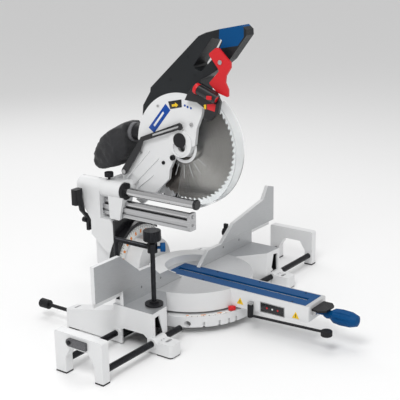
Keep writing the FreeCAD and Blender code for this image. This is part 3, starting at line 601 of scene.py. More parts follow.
def weave_group() -> bpy.types.ShaderNodeTree:
    """Coarse plain weave, with its threads over and under each other.

    Returns:
        The group.
    """
    g = GroupBuilder("plain_weave", {
        "Colour": (0.02, 0.02, 0.022, 1.0), "Thread": (0.06, 0.06, 0.065, 1.0), "Pitch": 900.0},
        SURFACE_OUTPUTS)
    x, y, z = g.split(g.place)
    warp_run = g.math("ADD", x, g.math("MULTIPLY", y, 0.5))
    weft_run = g.math("ADD", z, g.math("MULTIPLY", y, 0.6))
    warp, weft = (g.math("SINE", g.math("MULTIPLY", run, g.inlets["Pitch"])) for run in (warp_run, weft_run))
    cross = g.math("MULTIPLY", warp, weft)
    dust = g.noise(22.0, 4.0)
    shade = g.math("MULTIPLY", g.ramp(cross, -1.0, 1.0), g.ramp(dust, 0.35, 0.75, 0.25, 1.0))
    return g.give(Colour=g.blend(shade, g.inlets["Colour"], g.inlets["Thread"]),
                  Roughness=g.ramp(dust, 0.3, 0.7, 0.62, 0.8),
                  Normal=g.bump(cross, 0.5, 0.0006))


GROUPS: dict[str, bpy.types.ShaderNodeTree] = {}


def group_tree(build: Callable[[], bpy.types.ShaderNodeTree]) -> bpy.types.ShaderNodeTree:
    """The group that a builder makes, made once.

    Args:
        build: Function that builds the group.

    Returns:
        The group, built once.
    """
    if build.__name__ not in GROUPS:
        GROUPS[build.__name__] = build()
    return GROUPS[build.__name__]


# ---- finishes -----------------------------------------------------------
class Finish:
    """A material under construction, with its Principled BSDF."""

    def __init__(self, name: str) -> None:
        """Start an empty material.

        Args:
            name: Name of the material.
        """
        self.material = bpy.data.materials.new(name)
        self.material.use_nodes = True
        self.tree = self.material.node_tree
        self.bsdf = self.tree.nodes["Principled BSDF"]

    def group(self, build: Callable[[], bpy.types.ShaderNodeTree], **values: object) -> bpy.types.Node:
        """A node group placed with its own values, named with underscores for spaces.

        Args:
            build: Function that builds the group.
            values: Values of its inputs, by name.

        Returns:
            The node.
        """
        made = self.tree.nodes.new("ShaderNodeGroup")
        made.node_tree = group_tree(build)
        for key, value in values.items():
            made.inputs[key.replace("_", " ")].default_value = value
        return made

    def surface(self, source: bpy.types.Node) -> "Finish":
        """Feed the BSDF from a group's colour, roughness and normal.

        Args:
            source: A placed group with colour, roughness and normal.

        Returns:
            This finish.
        """
        return self.put(Base_Color=source.outputs["Colour"], Roughness=source.outputs["Roughness"],
                        Normal=source.outputs["Normal"])

    def mix(self, mask: bpy.types.NodeSocket, a: object, b: object,
            kind: str = "RGBA") -> bpy.types.NodeSocket:
        """A mix of two colours or values by a mask.

        Args:
            mask: Share of the second value.
            a: First value or socket.
            b: Second value or socket.
            kind: Data type of the mix node.

        Returns:
            The output socket.
        """
        made = self.tree.nodes.new("ShaderNodeMix")
        made.data_type = kind
        first, result = {"RGBA": (6, 2), "FLOAT": (2, 0), "VECTOR": (4, 1)}[kind]
        for value, socket in ((mask, 0), (a, first), (b, first + 1)):
            feed(self.tree, value, made.inputs[socket])
        return made.outputs[result]

    def put(self, **values: object) -> "Finish":
        """Feed the BSDF's own sockets, named with underscores for spaces.

        Args:
            values: Plain values or sockets, by the name of the input.

        Returns:
            This finish.
        """
        for key, value in values.items():
            feed(self.tree, value, self.bsdf.inputs[key.replace("_", " ")])
        return self


def rgba(colour: Colour) -> tuple[float, float, float, float]:
    """A colour with full alpha.

    Args:
        colour: Red, green and blue.

    Returns:
        The same colour with alpha 1.
    """
    return (*colour, 1.0)


@dataclass(frozen=True)
class Plastic:
    """Moulded plastic or paint with a fine grain."""

    name: str
    colour: Colour
    soiled: Colour
    roughness: float = 0.42
    grain: float = 1400.0
    height: float = 0.25
    soiling: float = 0.35
    coat: float = 0.0
    shine: float = 0.28

    def build(self) -> bpy.types.Material:
        """Make the material.

        Returns:
            The material.
        """
        made = Finish(self.name)
        made.surface(made.group(surface_group, Colour=rgba(self.colour), Soiled=rgba(self.soiled),
                                Soiling=self.soiling, Grain_Scale=self.grain, Grain_Height=self.height,
                                Roughness=self.roughness))
        return made.put(Coat_Weight=self.coat, Coat_Roughness=0.15, Specular_IOR_Level=self.shine).material


@dataclass(frozen=True)
class Metal:
    """Bare metal with lines along one direction."""

    name: str
    colour: Colour
    line: Colour
    stretch: Point3 = (12.0, 900.0, 900.0)
    roughness: float = 0.3
    depth: float = 0.12

    def build(self) -> bpy.types.Material:
        """Make the material.

        Returns:
            The material.
        """
        made = Finish(self.name)
        made.surface(made.group(brushed_group, Colour=rgba(self.colour), Line_Colour=rgba(self.line),
                                Stretch=self.stretch, Depth=self.depth, Roughness=self.roughness))
        return made.put(Metallic=1.0).material


@dataclass(frozen=True)
class MachinedCasting:
    """White painted casting whose flat faces on one side are machined bare."""

    name: str
    direction: Point3
    level: float
    bare: Colour = (0.56, 0.57, 0.585)
    paint: Colour = (0.76, 0.765, 0.77)
    stretch: Point3 = (60.0, 1800.0, 1800.0)
    bare_metallic: float = 0.75

    def build(self) -> bpy.types.Material:
        """Make the material.

        Returns:
            The material.
        """
        made = Finish(self.name)
        paint = made.group(surface_group, Colour=rgba(self.paint), Soiled=(0.66, 0.67, 0.68, 1.0),
                           Soiling=0.25, Grain_Scale=700.0, Grain_Height=0.32, Roughness=0.36).outputs
        line = rgba(tuple(c * 0.9 for c in self.bare))
        bare = made.group(brushed_group, Colour=rgba(self.bare), Line_Colour=line, Stretch=self.stretch,
                          Depth=0.06, Roughness=0.4).outputs
        mask = made.group(face_mask_group, Direction=self.direction, Level=self.level).outputs["Mask"]
        made.put(Base_Color=made.mix(mask, paint["Colour"], bare["Colour"]),
                 Roughness=made.mix(mask, paint["Roughness"], bare["Roughness"], "FLOAT"),
                 Normal=made.mix(mask, paint["Normal"], bare["Normal"], "VECTOR"),
                 Metallic=made.mix(mask, 0.0, self.bare_metallic, "FLOAT"))
        return made.material


@dataclass(frozen=True)
class ScalePlate:
    """White printed scale with ticks and coloured marks about a centre."""

    name: str
    centre: Point3
    up: Point3
    inner: float
    outer: float

    def build(self) -> bpy.types.Material:
        """Make the material.

        Returns:
            The material.
        """
        made = Finish(self.name)
        base = made.group(surface_group, Colour=(0.86, 0.86, 0.84, 1.0), Soiled=(0.7, 0.7, 0.68, 1.0),
                          Soiling=0.3, Grain_Scale=900.0, Grain_Height=0.1, Roughness=0.4)
        made.surface(base)
        depth = self.outer - self.inner
        rings = ((1.0, 0.12, self.outer - 0.28 * depth, self.outer, (0.08, 0.08, 0.08)),
                 (5.0, 0.26, self.outer - 0.45 * depth, self.outer, (0.05, 0.05, 0.05)),
                 (15.0, 2.2, self.inner + 0.1 * depth, self.inner + 0.5 * depth, (0.85, 0.27, 0.03)))
        colour = base.outputs["Colour"]
        for step, width, start, end, ink in rings:
            ticks = made.group(dial_group, Up=self.up, Centre=self.centre, Step=step, Width=width,
                               From=start, To=end)
            colour = made.mix(ticks.outputs["Mask"], colour, rgba(ink))
        return made.put(Base_Color=colour).material


def clear_plastic(name: str, clearness: float, roughness: float) -> bpy.types.Material:
    """Clear polycarbonate of the blade guard.

    Args:
        name: Name of the material.
        clearness: Share of the light that passes through.
        roughness: Roughness of the surface.

    Returns:
        The material.
    """
    made = Finish(name)
    made.surface(made.group(surface_group, Colour=(0.95, 0.965, 0.97, 1.0), Soiled=(0.88, 0.9, 0.9, 1.0),
                            Soiling=0.5, Grain_Scale=240.0, Grain_Height=0.03, Roughness=roughness))
    return made.put(Transmission_Weight=clearness, IOR=1.22).material


def blade_finish(centre: Vector) -> bpy.types.Material:
    """Ground steel of the saw blade, turned about its centre, with painted reflections in fans round it.

    Args:
        centre: The blade's centre.

    Returns:
        The material.
    """
    made = Finish("ground_blade_steel_painted_reflections")
    made.surface(made.group(polar_group, Centre=tuple(centre), Light=(0.42, 0.4, 0.375, 1.0),
                            Dark=(0.05, 0.042, 0.036, 1.0)))
    return made.put(Metallic=1.0).material


def cloth_finish(name: str, base: Colour, thread: Colour, pitch: float) -> bpy.types.Material:
    """Woven cloth.

    Args:
        name: Name of the material.
        base: Colour between the threads.
        thread: Colour of the threads.
        pitch: How close the threads are, in radians of the weave per metre.

    Returns:
        The material.
    """
    made = Finish(name)
    made.surface(made.group(weave_group, Colour=rgba(base), Thread=rgba(thread), Pitch=pitch))
    return made.put(Sheen_Weight=0.15, Sheen_Roughness=0.5).material


class Paints:
    """Every finish of the saw, built once."""

    def __init__(self, blade_centre: Vector, table_top: float, fence_front: float) -> None:
        """Make the finishes.

        Args:
            blade_centre: Centre of the saw blade.
            table_top: Height of the tables.
            fence_front: Place of the fences' front faces along Y.
        """
        edge = 0.0004  # how far below its flat faces a casting is taken as machined
        up, front = (0.0, 0.0, 1.0), (0.0, -1.0, 0.0)
        self.table = MachinedCasting("cast_table", up, table_top - edge).build()
        self.turntable = MachinedCasting("cast_turntable", up, table_top - edge, (0.72, 0.725, 0.735),
                                         stretch=(1800.0, 60.0, 1800.0)).build()
        self.fence = MachinedCasting("cast_fence", front, -fence_front - edge, (0.5, 0.51, 0.52),
                                     stretch=(60.0, 1600.0, 1600.0)).build()
        self.white = Plastic("white_paint", (0.77, 0.775, 0.78), (0.64, 0.65, 0.66), roughness=0.34,
                             grain=700.0, height=0.3, soiling=0.25, coat=0.15).build()
        self.black = Plastic("black_moulding", (0.009, 0.009, 0.011), (0.025, 0.025, 0.027), roughness=0.45,
                             grain=1600.0, height=0.4).build()
        self.gloss_black = Plastic("black_gloss", (0.012, 0.012, 0.014), (0.03, 0.03, 0.03), roughness=0.22,
                                   grain=1500.0, height=0.12, soiling=0.2, coat=0.3).build()
        self.body_grey = Plastic("dark_grey_moulding", (0.010, 0.012, 0.014), (0.022, 0.025, 0.028),
                                 roughness=0.42, grain=1500.0, height=0.45).build()
        self.blue = Plastic("blue_moulding", (0.0, 0.062, 0.2), (0.002, 0.07, 0.215), roughness=0.4,
                            grain=1500.0, height=0.25, shine=0.14).build()
        self.blue_bright = Plastic("blue_print", (0.003, 0.06, 0.33), (0.02, 0.09, 0.36), roughness=0.3,
                                   grain=900.0, height=0.05).build()
        self.red = Plastic("red_moulding", (0.63, 0.012, 0.018), (0.45, 0.012, 0.016), roughness=0.34,
                           grain=1500.0, height=0.25, soiling=0.3, coat=0.2).build()
        self.yellow = Plastic("yellow_print", (0.86, 0.56, 0.02), (0.7, 0.45, 0.02), roughness=0.35,
                              grain=900.0, height=0.05).build()
        self.rubber = Plastic("foot_rubber", (0.012, 0.012, 0.012), (0.05, 0.05, 0.05), roughness=0.7,
                              grain=900.0, height=0.6).build()
        self.chrome = Metal("polished_rail", (0.6, 0.6, 0.605), (0.5, 0.5, 0.51), (600.0, 6.0, 600.0),
                            roughness=0.12, depth=0.05).build()
        self.aluminium = Metal("extruded_aluminium", (0.55, 0.555, 0.56), (0.4, 0.4, 0.41),
                               (500.0, 5.0, 500.0), roughness=0.3, depth=0.15).build()
        self.zinc = Metal("zinc_plate", (0.6, 0.6, 0.6), (0.42, 0.42, 0.43), (300.0, 300.0, 300.0),
                          roughness=0.34, depth=0.1).build()
        self.dark_steel = Metal("blackened_steel", (0.035, 0.036, 0.04), (0.02, 0.02, 0.022),
                                (300.0, 300.0, 60.0), roughness=0.36, depth=0.2).build()
        self.stop_steel = Metal("stop_steel", (0.17, 0.17, 0.18), (0.12, 0.12, 0.125),
                                (300.0, 300.0, 300.0), roughness=0.42, depth=0.1).build()
        self.blade = blade_finish(blade_centre)
        self.clear = clear_plastic("clear_polycarbonate", 0.97, 0.04)
        self.clear_rim = clear_plastic("clear_polycarbonate_rim", 0.62, 0.2)
        self.bag = cloth_finish("bag_cloth", (0.008, 0.008, 0.010), (0.035, 0.036, 0.04), 2600.0)
        self.patch = cloth_finish("bag_patch", (0.11, 0.11, 0.12), (0.2, 0.2, 0.21), 2200.0)


def dress(obj: bpy.types.Object, material: bpy.types.Material) -> None:
    """Give an object one material all over.

    Args:
        obj: The object.
        material: Its material.
    """
    obj.data.materials.clear()
    obj.data.materials.append(material)


def add(piece: bpy.types.Object, body: str, material: bpy.types.Material) -> None:
    """Dress a new piece and let it ride on a body.

    Args:
        piece: The new piece.
        body: Body it rides on.
        material: Its material.
    """
    dress(piece, material)
    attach(piece, body)
    log.info("piece %s rides on %s", piece.name, body)


@dataclass(frozen=True)
class Hollow:
    """The hollow inside each of the base's two table blocks, mirrored across the blade's plane; its faces get
    painted shade.
    """

    side: float = 0.2995
    back: float = -0.0005
    front: float = -0.1205
    corner: Point2 = (0.245, -0.1148)
    slope: float = -0.8375
    bore: float = 0.175
    bore_y: float = -0.028
    low: float = 0.0045
    high: float = 0.1012

    def holds(self, place: Vector) -> bool:
        """Whether a place lies in the hollow.

        Args:
            place: The place.

        Returns:
            True in the hollow or on its faces.
        """
        x = abs(place.x)
        front = max(self.front, self.corner[1] + (x - self.corner[0]) * self.slope)
        return (self.low < place.z < self.high and x < self.side and front < place.y < self.back
                and math.hypot(x, place.y - self.bore_y) > self.bore)


# ---- sub-assemblies -----------------------------------------------------
@dataclass
class CarriedNodes:
    """The CAD nodes that keep their shape and get their finish."""

    paints: Paints
    softened: tuple[str, ...] = ("handle_left", "handle_right", "column", "carriage", "head_casting")
    soft_edge: float = 0.0016
    soft_angle: float = math.radians(38)
    flat_side: float = 0.9

    def dress_all(self) -> None:
        """Give every CAD node its material."""
        p = self.paints
        finishes = {
            "base_casting": p.table, "turntable": p.turntable, "rubber_feet": p.rubber,
            "turntable_bolt": p.zinc, "kerf_strip": p.blue, "bevel_pivot_pin": p.zinc,
            "arm_pins": p.zinc, "mitre_grip": p.blue, "detent_paddle": p.black, "arm_lever": p.black,
            "fixed_fence": p.fence, "left_sliding_fence": p.fence, "right_sliding_fence": p.fence,
            "left_fence_lock": p.black, "right_fence_lock": p.black, "column": p.white,
            "bevel_quadrant": p.gloss_black, "upper_rail": p.chrome, "lower_rail": p.chrome,
            "rail_beam": p.aluminium, "rail_ends": p.gloss_black, "bevel_lock_lever": p.black,
            "carriage": p.white, "rail_bushes": p.black, "chop_pivot_pin": p.zinc,
            "rail_lock_knob": p.black, "head_casting": p.white, "arbor_bearing": p.zinc,
            "arbor_cover": p.black, "motor_housing": p.body_grey, "motor_end_cap": p.black,
            "motor_core": p.zinc, "handle_left": p.body_grey, "handle_right": p.body_grey,
            "grip_sleeve": p.blue, "trigger": p.black, "lock_off_button": p.red, "guard_lever": p.red,
            "guard_pins": p.zinc, "laser_unit": p.gloss_black, "laser_button": p.red,
            "dust_chute": p.black, "dust_bag": p.bag, "saw_blade": p.blade, "arbor": p.zinc,
            "blade_flanges": p.zinc, "lower_guard": p.clear, "guard_link": p.gloss_black,
            "clamp_bar": p.dark_steel, "clamp_screw": p.dark_steel, "clamp_pad": p.black,
            "clamp_lock_knob": p.blue, "rear_thumbscrew": p.black,
        }
        for side in ("left", "right"):
            finishes[f"{side}_support_stand"] = p.white
            finishes[f"{side}_support_rods"] = p.dark_steel
            finishes[f"{side}_length_stop"] = p.stop_steel
        pin_low, pin_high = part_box("bevel_pivot_pin")
        finishes["bevel_scale"] = ScalePlate("bevel_scale_print", (0.0, 0.0, (pin_low.z + pin_high.z) / 2),
                                             (0.0, 0.0, 1.0), 0.078, 0.104).build()
        for node, material in finishes.items():
            dress(frame["nodes"][node], material)
        self.two_finishes("rail_ends", p.gloss_black, p.aluminium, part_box("upper_rail")[0].z)
        # black on the faces of the base's hollow is painted shade
        self.paint_hollow_shade("base_casting", p.table, p.black)
        self.guard_rim("lower_guard", p.clear, p.clear_rim)
        for node in self.softened:
            self.soften(frame["nodes"][node])
        log.info("dressed %d nodes", len(finishes))

    def two_finishes(self, node: str, above: bpy.types.Material, below: bpy.types.Material,
                     level: float) -> None:
        """Two materials on one node, parted at a height.

        Args:
            node: The CAD node.
            above: Material of the faces over the level.
            below: Material of the faces under the level.
            level: Height of the parting.
        """
        obj = frame["nodes"][node]
        dress(obj, above)
        obj.data.materials.append(below)
        for face in obj.data.polygons:
            face.material_index = int((obj.matrix_world @ face.center).z < level)

    def paint_hollow_shade(self, node: str, outside: bpy.types.Material, inside: bpy.types.Material) -> None:
        """Painted shade: black on the faces of the hollow inside the base's two table blocks, where shade
        falls.

        Args:
            node: The base's CAD node.
            outside: Material of the outer faces.
            inside: Material of the hollow's faces, a black that is painted shade.
        """
        obj = frame["nodes"][node]
        dress(obj, outside)
        obj.data.materials.append(inside)
        inner = Hollow()
        # faces in the hollow get the black of painted shade
        for face in obj.data.polygons:
            face.material_index = int(inner.holds(obj.matrix_world @ face.center))

    def guard_rim(self, node: str, side: bpy.types.Material, rim: bpy.types.Material) -> None:
        """A milkier finish on the guard's rim and cut edges than on its flat sides.

        Args:
            node: The guard's CAD node.
            side: Material of the flat sides.
            rim: Material of the rim and the edges.
        """
        obj = frame["nodes"][node]
        dress(obj, side)
        obj.data.materials.append(rim)
        for face in obj.data.polygons:
            face.material_index = int(abs(face.normal.x) < self.flat_side)

    def soften(self, obj: bpy.types.Object) -> None:
        """Round a node's sharp edges a little, without a change of its size.

        Args:
            obj: The node.
        """
        bevel = obj.modifiers.new("edges", "BEVEL")
        bevel.width = self.soft_edge
        bevel.segments = 2
        bevel.limit_method = "ANGLE"
        bevel.angle_limit = self.soft_angle
        bevel.harden_normals = False


@dataclass
class Table:
    """Base, turntable and arm: scale, pointer, labels and screws."""

    paints: Paints
    scale_low: float = 0.050
    scale_gap: float = 0.0007
    scale_radii: Point2 = (0.1712, 0.1845)
    arm_side: float = -0.046

    def build(self) -> None:
        """Build every trim piece of the table."""
        bolt_low, bolt_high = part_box("turntable_bolt")
        centre = ((bolt_low.x + bolt_high.x) / 2, (bolt_low.y + bolt_high.y) / 2)
        self.mitre_scale(centre)
        self.pointer(centre)
        self.arm_labels()
        self.strip_screws()
        self.foot_marks()

    def mitre_scale(self, centre: Point2) -> None:
        """Printed scale on the front of the base ring.

        Args:
            centre: The turntable's centre, seen from above.
        """
        inner, outer = self.scale_radii
        outline = arc(centre, outer, -150, -30, 60) + arc(centre, inner, -30, -150, 60)
        plate = outline_piece("mitre_scale", Axis.Z, outline, self.scale_low,
                              self.scale_low + self.scale_gap, 0.0001)
        finish = ScalePlate("mitre_scale_print", (*centre, self.scale_low), (0.0, -1.0, 0.0), inner, outer)
        add(plate, "base", finish.build())

    def pointer(self, centre: Point2) -> None:
        """Red pointer beside the arm, over the mitre scale.

        Args:
            centre: The turntable's centre, seen from above.
        """
        x, y = centre[0] - 0.052, centre[1] - 0.163
        shape = ((-0.006, 0.004), (0.005, -0.002), (0.005, -0.014), (0.001, -0.0155), (-0.009, -0.010),
                 (-0.012, -0.001))
        piece = outline_piece("mitre_pointer", Axis.Z, [(x + u, y + v) for u, v in shape], 0.0515, 0.0625,
                              0.0012)
        add(piece, "table", self.paints.red)

    def arm_labels(self) -> None:
        """Dark label with three dots, and two yellow triangles with a bar, on the arm's left side."""
        face, paints = self.arm_side, self.paints
        add(LABEL.patch("arm_label", face, rectangle(-0.284, 0.0905, -0.355, 0.0665)), "table",
            paints.gloss_black)
        add(BORDER.patch("arm_label_edge", face, rectangle(-0.2815, 0.093, -0.3575, 0.064)), "table",
            paints.zinc)
        dots = ((-0.303, paints.red), (-0.3195, paints.white), (-0.336, paints.red))
        for i, (y, paint) in enumerate(dots):
            add(MARK.dot(f"arm_label_dot_{i}", face, (y, 0.0785), 0.0026, 16), "table", paint)
        for i, y in enumerate((-0.218, -0.390)):
            add(LABEL.patch(f"arm_triangle_{i}", face, arc((y, 0.0765), 0.0125, 90, 330, 2)), "table",
                paints.yellow)
            bar = [(y - 0.0008, 0.0735), (y + 0.0008, 0.0735), (y + 0.0012, 0.0820), (y - 0.0012, 0.0820)]
            add(MARK.patch(f"arm_triangle_bar_{i}", face, bar), "table", paints.black)

    def strip_screws(self) -> None:
        """Countersunk screws in the kerf strip."""
        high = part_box("kerf_strip")[1]
        inset, recess, height = 0.007, 0.0005, 0.003
        for side, tag in ((-1, "l"), (1, "r")):
            for i, y in enumerate((-0.373, -0.228, -0.088)):
                screw = screw_piece(f"strip_screw_{tag}{i}", Axis.Z, (side * (high.x - inset), y), 0.0033,
                                    high.z - recess - height, high.z - recess, 1)
                add(screw, "table", self.paints.black)

    def foot_marks(self) -> None:
        """Pairs of small screw heads on the front feet, and the screws of the fixed fence."""
        foot, pair = (0.2835, -0.139), 0.005
        for side, tag in ((-1, "l"), (1, "r")):
            for i, shift in enumerate((-pair, pair)):
                screw = screw_piece(f"foot_screw_{tag}{i}", Axis.Z, (side * foot[0] + shift, foot[1]), 0.0021,
                                    0.0368, 0.0378, 1)
                add(screw, "base", self.paints.zinc)
        for i, x in enumerate((-0.228, -0.147, 0.150, 0.232)):
            screw = screw_piece(f"fence_screw_{i}", Axis.Y, (x, 0.138), 0.0028, -0.0284, -0.0262, -1)
            add(screw, "base", self.paints.dark_steel)


@dataclass
class Head:
    """The chopping head: labels, ribs, screws, laser ring, carbide tips and dust bag."""

    paints: Paints
    centre: Vector
    face: float = -0.032
    tip_count: int = 60
    bag_scale: float = 0.95
    bag_cap: float = 0.010
    bag_margin: float = 0.004
    cloth_frames: int = 16
    light_tilt: float = math.radians(20.55)
    light_side: float = -0.052
    barrel_end: Point3 = (-0.055, -0.090, 0.645)
    barrel_length: float = 0.0693

    def at(self, y: float, z: float) -> Point2:
        """A point from its offsets from the blade's centre.

        Args:
            y: Offset along Y.
            z: Offset along Z.

        Returns:
            The point's place.
        """
        return (self.centre.y + y, self.centre.z + z)

    def build(self) -> None:
        """Build every trim piece of the head."""
        self.labels()
        self.ribs()
        self.screws()
        self.laser_trim()
        self.tips()
        self.guard_ribs()
        self.handle_seams()
        self.dust_bag()

    def labels(self) -> None:
        """Plain coloured labels on the left cover."""
        paints = self.paints
        patches = (
            ("cover_label_blue", LABEL, ((0.049, 0.116), (0.033, 0.100), (0.091, 0.031), (0.110, 0.044)),
             paints.blue_bright),
            ("cover_label_dark", LABEL, ((0.040, 0.123), (-0.005, 0.133), (-0.006, 0.112), (0.033, 0.103)),
             paints.gloss_black),
            ("cover_arrow", MARK, ((0.028, 0.116), (0.016, 0.119), (0.016, 0.123), (0.006, 0.117),
                                   (0.014, 0.109), (0.0145, 0.113), (0.0265, 0.110)), paints.yellow),
            ("cover_label_band", MARK, ((0.058, 0.094), (0.054, 0.090), (0.088, 0.049), (0.0925, 0.053)),
             paints.white),
        )
        for name, skin, points, paint in patches:
            add(skin.patch(name, self.face, [self.at(*q) for q in points]), "head", paint)
        for i, place in enumerate(((-0.016, 0.1175), (-0.025, 0.1145), (-0.036, 0.1125))):
            add(DOT.dot(f"cover_dot_{i}", self.face, self.at(*place), 0.0032, 20), "head",
                paints.blue_bright)

    def ribs(self) -> None:
        """Three cast ribs that run down the left cover to the chop hinge."""
        lines = (((0.108, -0.022), (0.196, -0.112)), ((0.078, -0.040), (0.170, -0.125)),
                 ((0.098, -0.090), (0.156, -0.134)))
        width, start_share, end_share = 0.0016, 0.5, 1.6
        for i, (a, b) in enumerate(lines):
            start, end = Vector(self.at(*a)), Vector(self.at(*b))
            way = (end - start).normalized()
            side = Vector((-way.y, way.x)) * width
            outline = [tuple(start + side * start_share), tuple(start - side * start_share),
                       tuple(end - side * end_share), tuple(end + side * end_share)]
            rib = outline_piece(f"cover_rib_{i}", Axis.X, outline, self.face - 0.0028, self.face + 0.0004,
                                0.0011)
            add(rib, "head", self.paints.white)

    def screws(self) -> None:
        """Knob and screws of the left cover."""
        black, zinc = self.paints.black, self.paints.zinc
        foot = self.face + 0.0003
        knob = screw_piece("cover_knob", Axis.X, self.at(0.027, -0.030), 0.0075, self.face - 0.007, foot, -1)
        add(knob, "head", black)
        heads = ((0.061, -0.049, 0.0052, black), (-0.037, 0.068, 0.0056, zinc),
                 (0.138, -0.030, 0.0038, zinc), (0.075, 0.108, 0.0034, zinc))
        for i, (y, z, radius, paint) in enumerate(heads):
            add(screw_piece(f"cover_screw_{i}", Axis.X, self.at(y, z), radius, self.face - 0.0032, foot, -1),
                "head", paint)

    def laser_trim(self) -> None:
        """Red ring and dark cap at the back of the light's barrel, its red glass and a plain label."""
        end = Vector(self.barrel_end)
        tilt = Matrix.Translation(end) @ Matrix.Rotation(self.light_tilt, 4, "X") @ Matrix.Translation(-end)
        back, front = end.y, end.y - self.barrel_length
        parts = (("laser_ring", 0.0146, back - 0.009, back + 0.0012, 0.001, self.paints.red),
                 ("laser_ring_cap", 0.0105, back + 0.0008, back + 0.0022, 0.0004, self.paints.gloss_black),
                 ("laser_glass", 0.0085, front + 0.0005, front + 0.0021, 0.0004, self.paints.red))
        for name, radius, low, high, bevel, paint in parts:
            piece = round_piece(name, Axis.Y, (end.x, end.z), radius, low, high, bevel)
            piece.data.transform(tilt)
            add(piece, "head", paint)
        labels = (("laser_label", ((-0.150, 0.610), (-0.122, 0.605), (-0.122, 0.592), (-0.146, 0.588)),
                   self.paints.red),
                  ("laser_label_mark", ((-0.119, 0.604), (-0.112, 0.603), (-0.112, 0.592), (-0.119, 0.592)),
                   self.paints.yellow))
        for name, points, paint in labels:
            add(THIN.patch(name, self.light_side, points), "head", paint)

    def tips(self) -> None:
        """Carbide tips on the blade's teeth, one shape copied round."""
        low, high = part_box("saw_blade")
        radius = (high.z - low.z) / 2
        points = [(radius - 0.0055, -0.0002), (radius - 0.0001, -0.0002), (radius - 0.0006, 0.0019),
                  (radius - 0.0052, 0.0016)]
        tips = []
        for i in range(self.tip_count):
            turn = 2 * math.pi * i / self.tip_count
            spun = [(self.centre.y + u * math.cos(turn) - v * math.sin(turn),
                     self.centre.z + u * math.sin(turn) + v * math.cos(turn)) for u, v in points]
            tips.append(outline_piece(f"tip_{i}", Axis.X, spun, -0.0016, 0.0016))
        add(join("carbide_tips", tips), "spindle", self.paints.zinc)

    def guard_ribs(self) -> None:
        """Thin radial ribs moulded on the clear guard's left side round its hub."""
        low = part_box("lower_guard")[0]
        skin = (low.x - 0.0008, low.x + 0.0004)
        middle = Vector((self.centre.y, self.centre.z))
        inner, outer, half = 0.050, 0.088, 0.0008
        for i, turn in enumerate(range(-150, 10, 20)):
            way = Vector((math.cos(math.radians(turn)), math.sin(math.radians(turn))))
            side = Vector((-way.y, way.x)) * half
            a, b = middle + way * inner, middle + way * outer
            outline = [tuple(a + side), tuple(a - side), tuple(b - side), tuple(b + side)]
            rib = outline_piece(f"guard_rib_{i}", Axis.X, outline, *skin, 0.0002)
            add(rib, "moving_guard", self.paints.clear_rim)

    def handle_seams(self) -> None:
        """Screws that hold the two shells of the handle together."""
        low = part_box("handle_left")[0]
        for i, (y, z) in enumerate(((0.012, 0.655), (-0.048, 0.720), (-0.068, 0.673))):
            add(screw_piece(f"handle_screw_{i}", Axis.X, (y, z), 0.0036, low.x - 0.0002, low.x + 0.0012, -1),
                "head", self.paints.dark_steel)

    def dust_bag(self) -> None:
        """Cloth dust bag, blown up a little from its CAD solid and creased."""
        low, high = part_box("dust_bag")
        bag = self.bag_copy((low + high) / 2)
        start = [v.co.copy() for v in bag.data.vertices]
        self.blow(bag)
        self.crease(bag, start)
        apply_modifier(bag, "SUBSURF", levels=1, render_levels=1)
        bpy.ops.object.shade_smooth()
        dress(bag, self.paints.bag)
        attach(bag, "head")
        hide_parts("dust_bag")
        self.bag_cuff()

    def bag_copy(self, middle: Vector) -> bpy.types.Object:
        """A copy of the bag's CAD solid with an even mesh and soft edges.

        Args:
            middle: Middle of the bag.

        Returns:
            The copy, which rides on nothing yet.
        """
        source = frame["nodes"]["dust_bag"]
        bag = source.copy()
        bag.data = source.data.copy()
        bag.parent = None
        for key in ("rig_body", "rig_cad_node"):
            del bag[key]
        bag.name = "dust_bag_cloth"
        bpy.context.scene.collection.objects.link(bag)
        deselect()
        bag.select_set(True)
        bpy.context.view_layer.objects.active = bag
        bpy.ops.object.mode_set(mode="EDIT")
        bpy.ops.mesh.select_all(action="SELECT")
        bpy.ops.mesh.customdata_custom_splitnormals_clear()
        bpy.ops.mesh.remove_doubles(threshold=0.00002)
        bpy.ops.object.mode_set(mode="OBJECT")
        bag.data.transform(Matrix.Translation(middle) @ Matrix.Scale(self.bag_scale, 4)
                           @ Matrix.Translation(-middle))
        apply_modifier(bag, "REMESH", mode="VOXEL", voxel_size=0.005)
        apply_modifier(bag, "SMOOTH", factor=0.8, iterations=14)
        return bag

    def crease(self, bag: bpy.types.Object, start: Sequence[Vector]) -> None:
        """Press creases into the bag and keep it near its CAD solid.

        Args:
            bag: The bag.
            start: Where each vertex was before the bag was blown up.
        """
        low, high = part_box("dust_bag")
        lift, depth, sharpness = 0.0022, 0.0052, 0.7
        normals = [v.normal.copy() for v in bag.data.vertices]
        for vertex, rest, normal in zip(bag.data.vertices, start, normals):
            move = vertex.co - rest
            if move.length > self.bag_cap:
                move = move.normalized() * self.bag_cap
            place = Vector((rest.x * 14, rest.y * 16 + rest.z * 20, rest.z * 30 - rest.y * 26))
            fold = lift - depth * abs(noise.fractal(place, 0.9, 2.1, 4)) ** sharpness
            vertex.co = rest + move + normal * fold
            for i in range(3):
                vertex.co[i] = min(max(vertex.co[i], low[i] - self.bag_margin), high[i] + self.bag_margin)

    def blow(self, bag: bpy.types.Object) -> None:
        """Cloth simulation that fills the bag with a little pressure.

        Args:
            bag: The bag.
        """
        cloth = bag.modifiers.new("Cloth", "CLOTH")
        cloth.settings.use_pressure = True
        cloth.settings.uniform_pressure_force = 3.0
        cloth.settings.effector_weights.gravity = 0.0
        cloth.settings.quality = 5
        cloth.point_cache.frame_start = 1
        cloth.point_cache.frame_end = self.cloth_frames
        scene = bpy.context.scene
        for step in range(1, self.cloth_frames + 1):
            scene.frame_set(step)
        bpy.context.view_layer.objects.active = bag
        bpy.ops.object.modifier_apply(modifier=cloth.name)
        scene.frame_set(1)

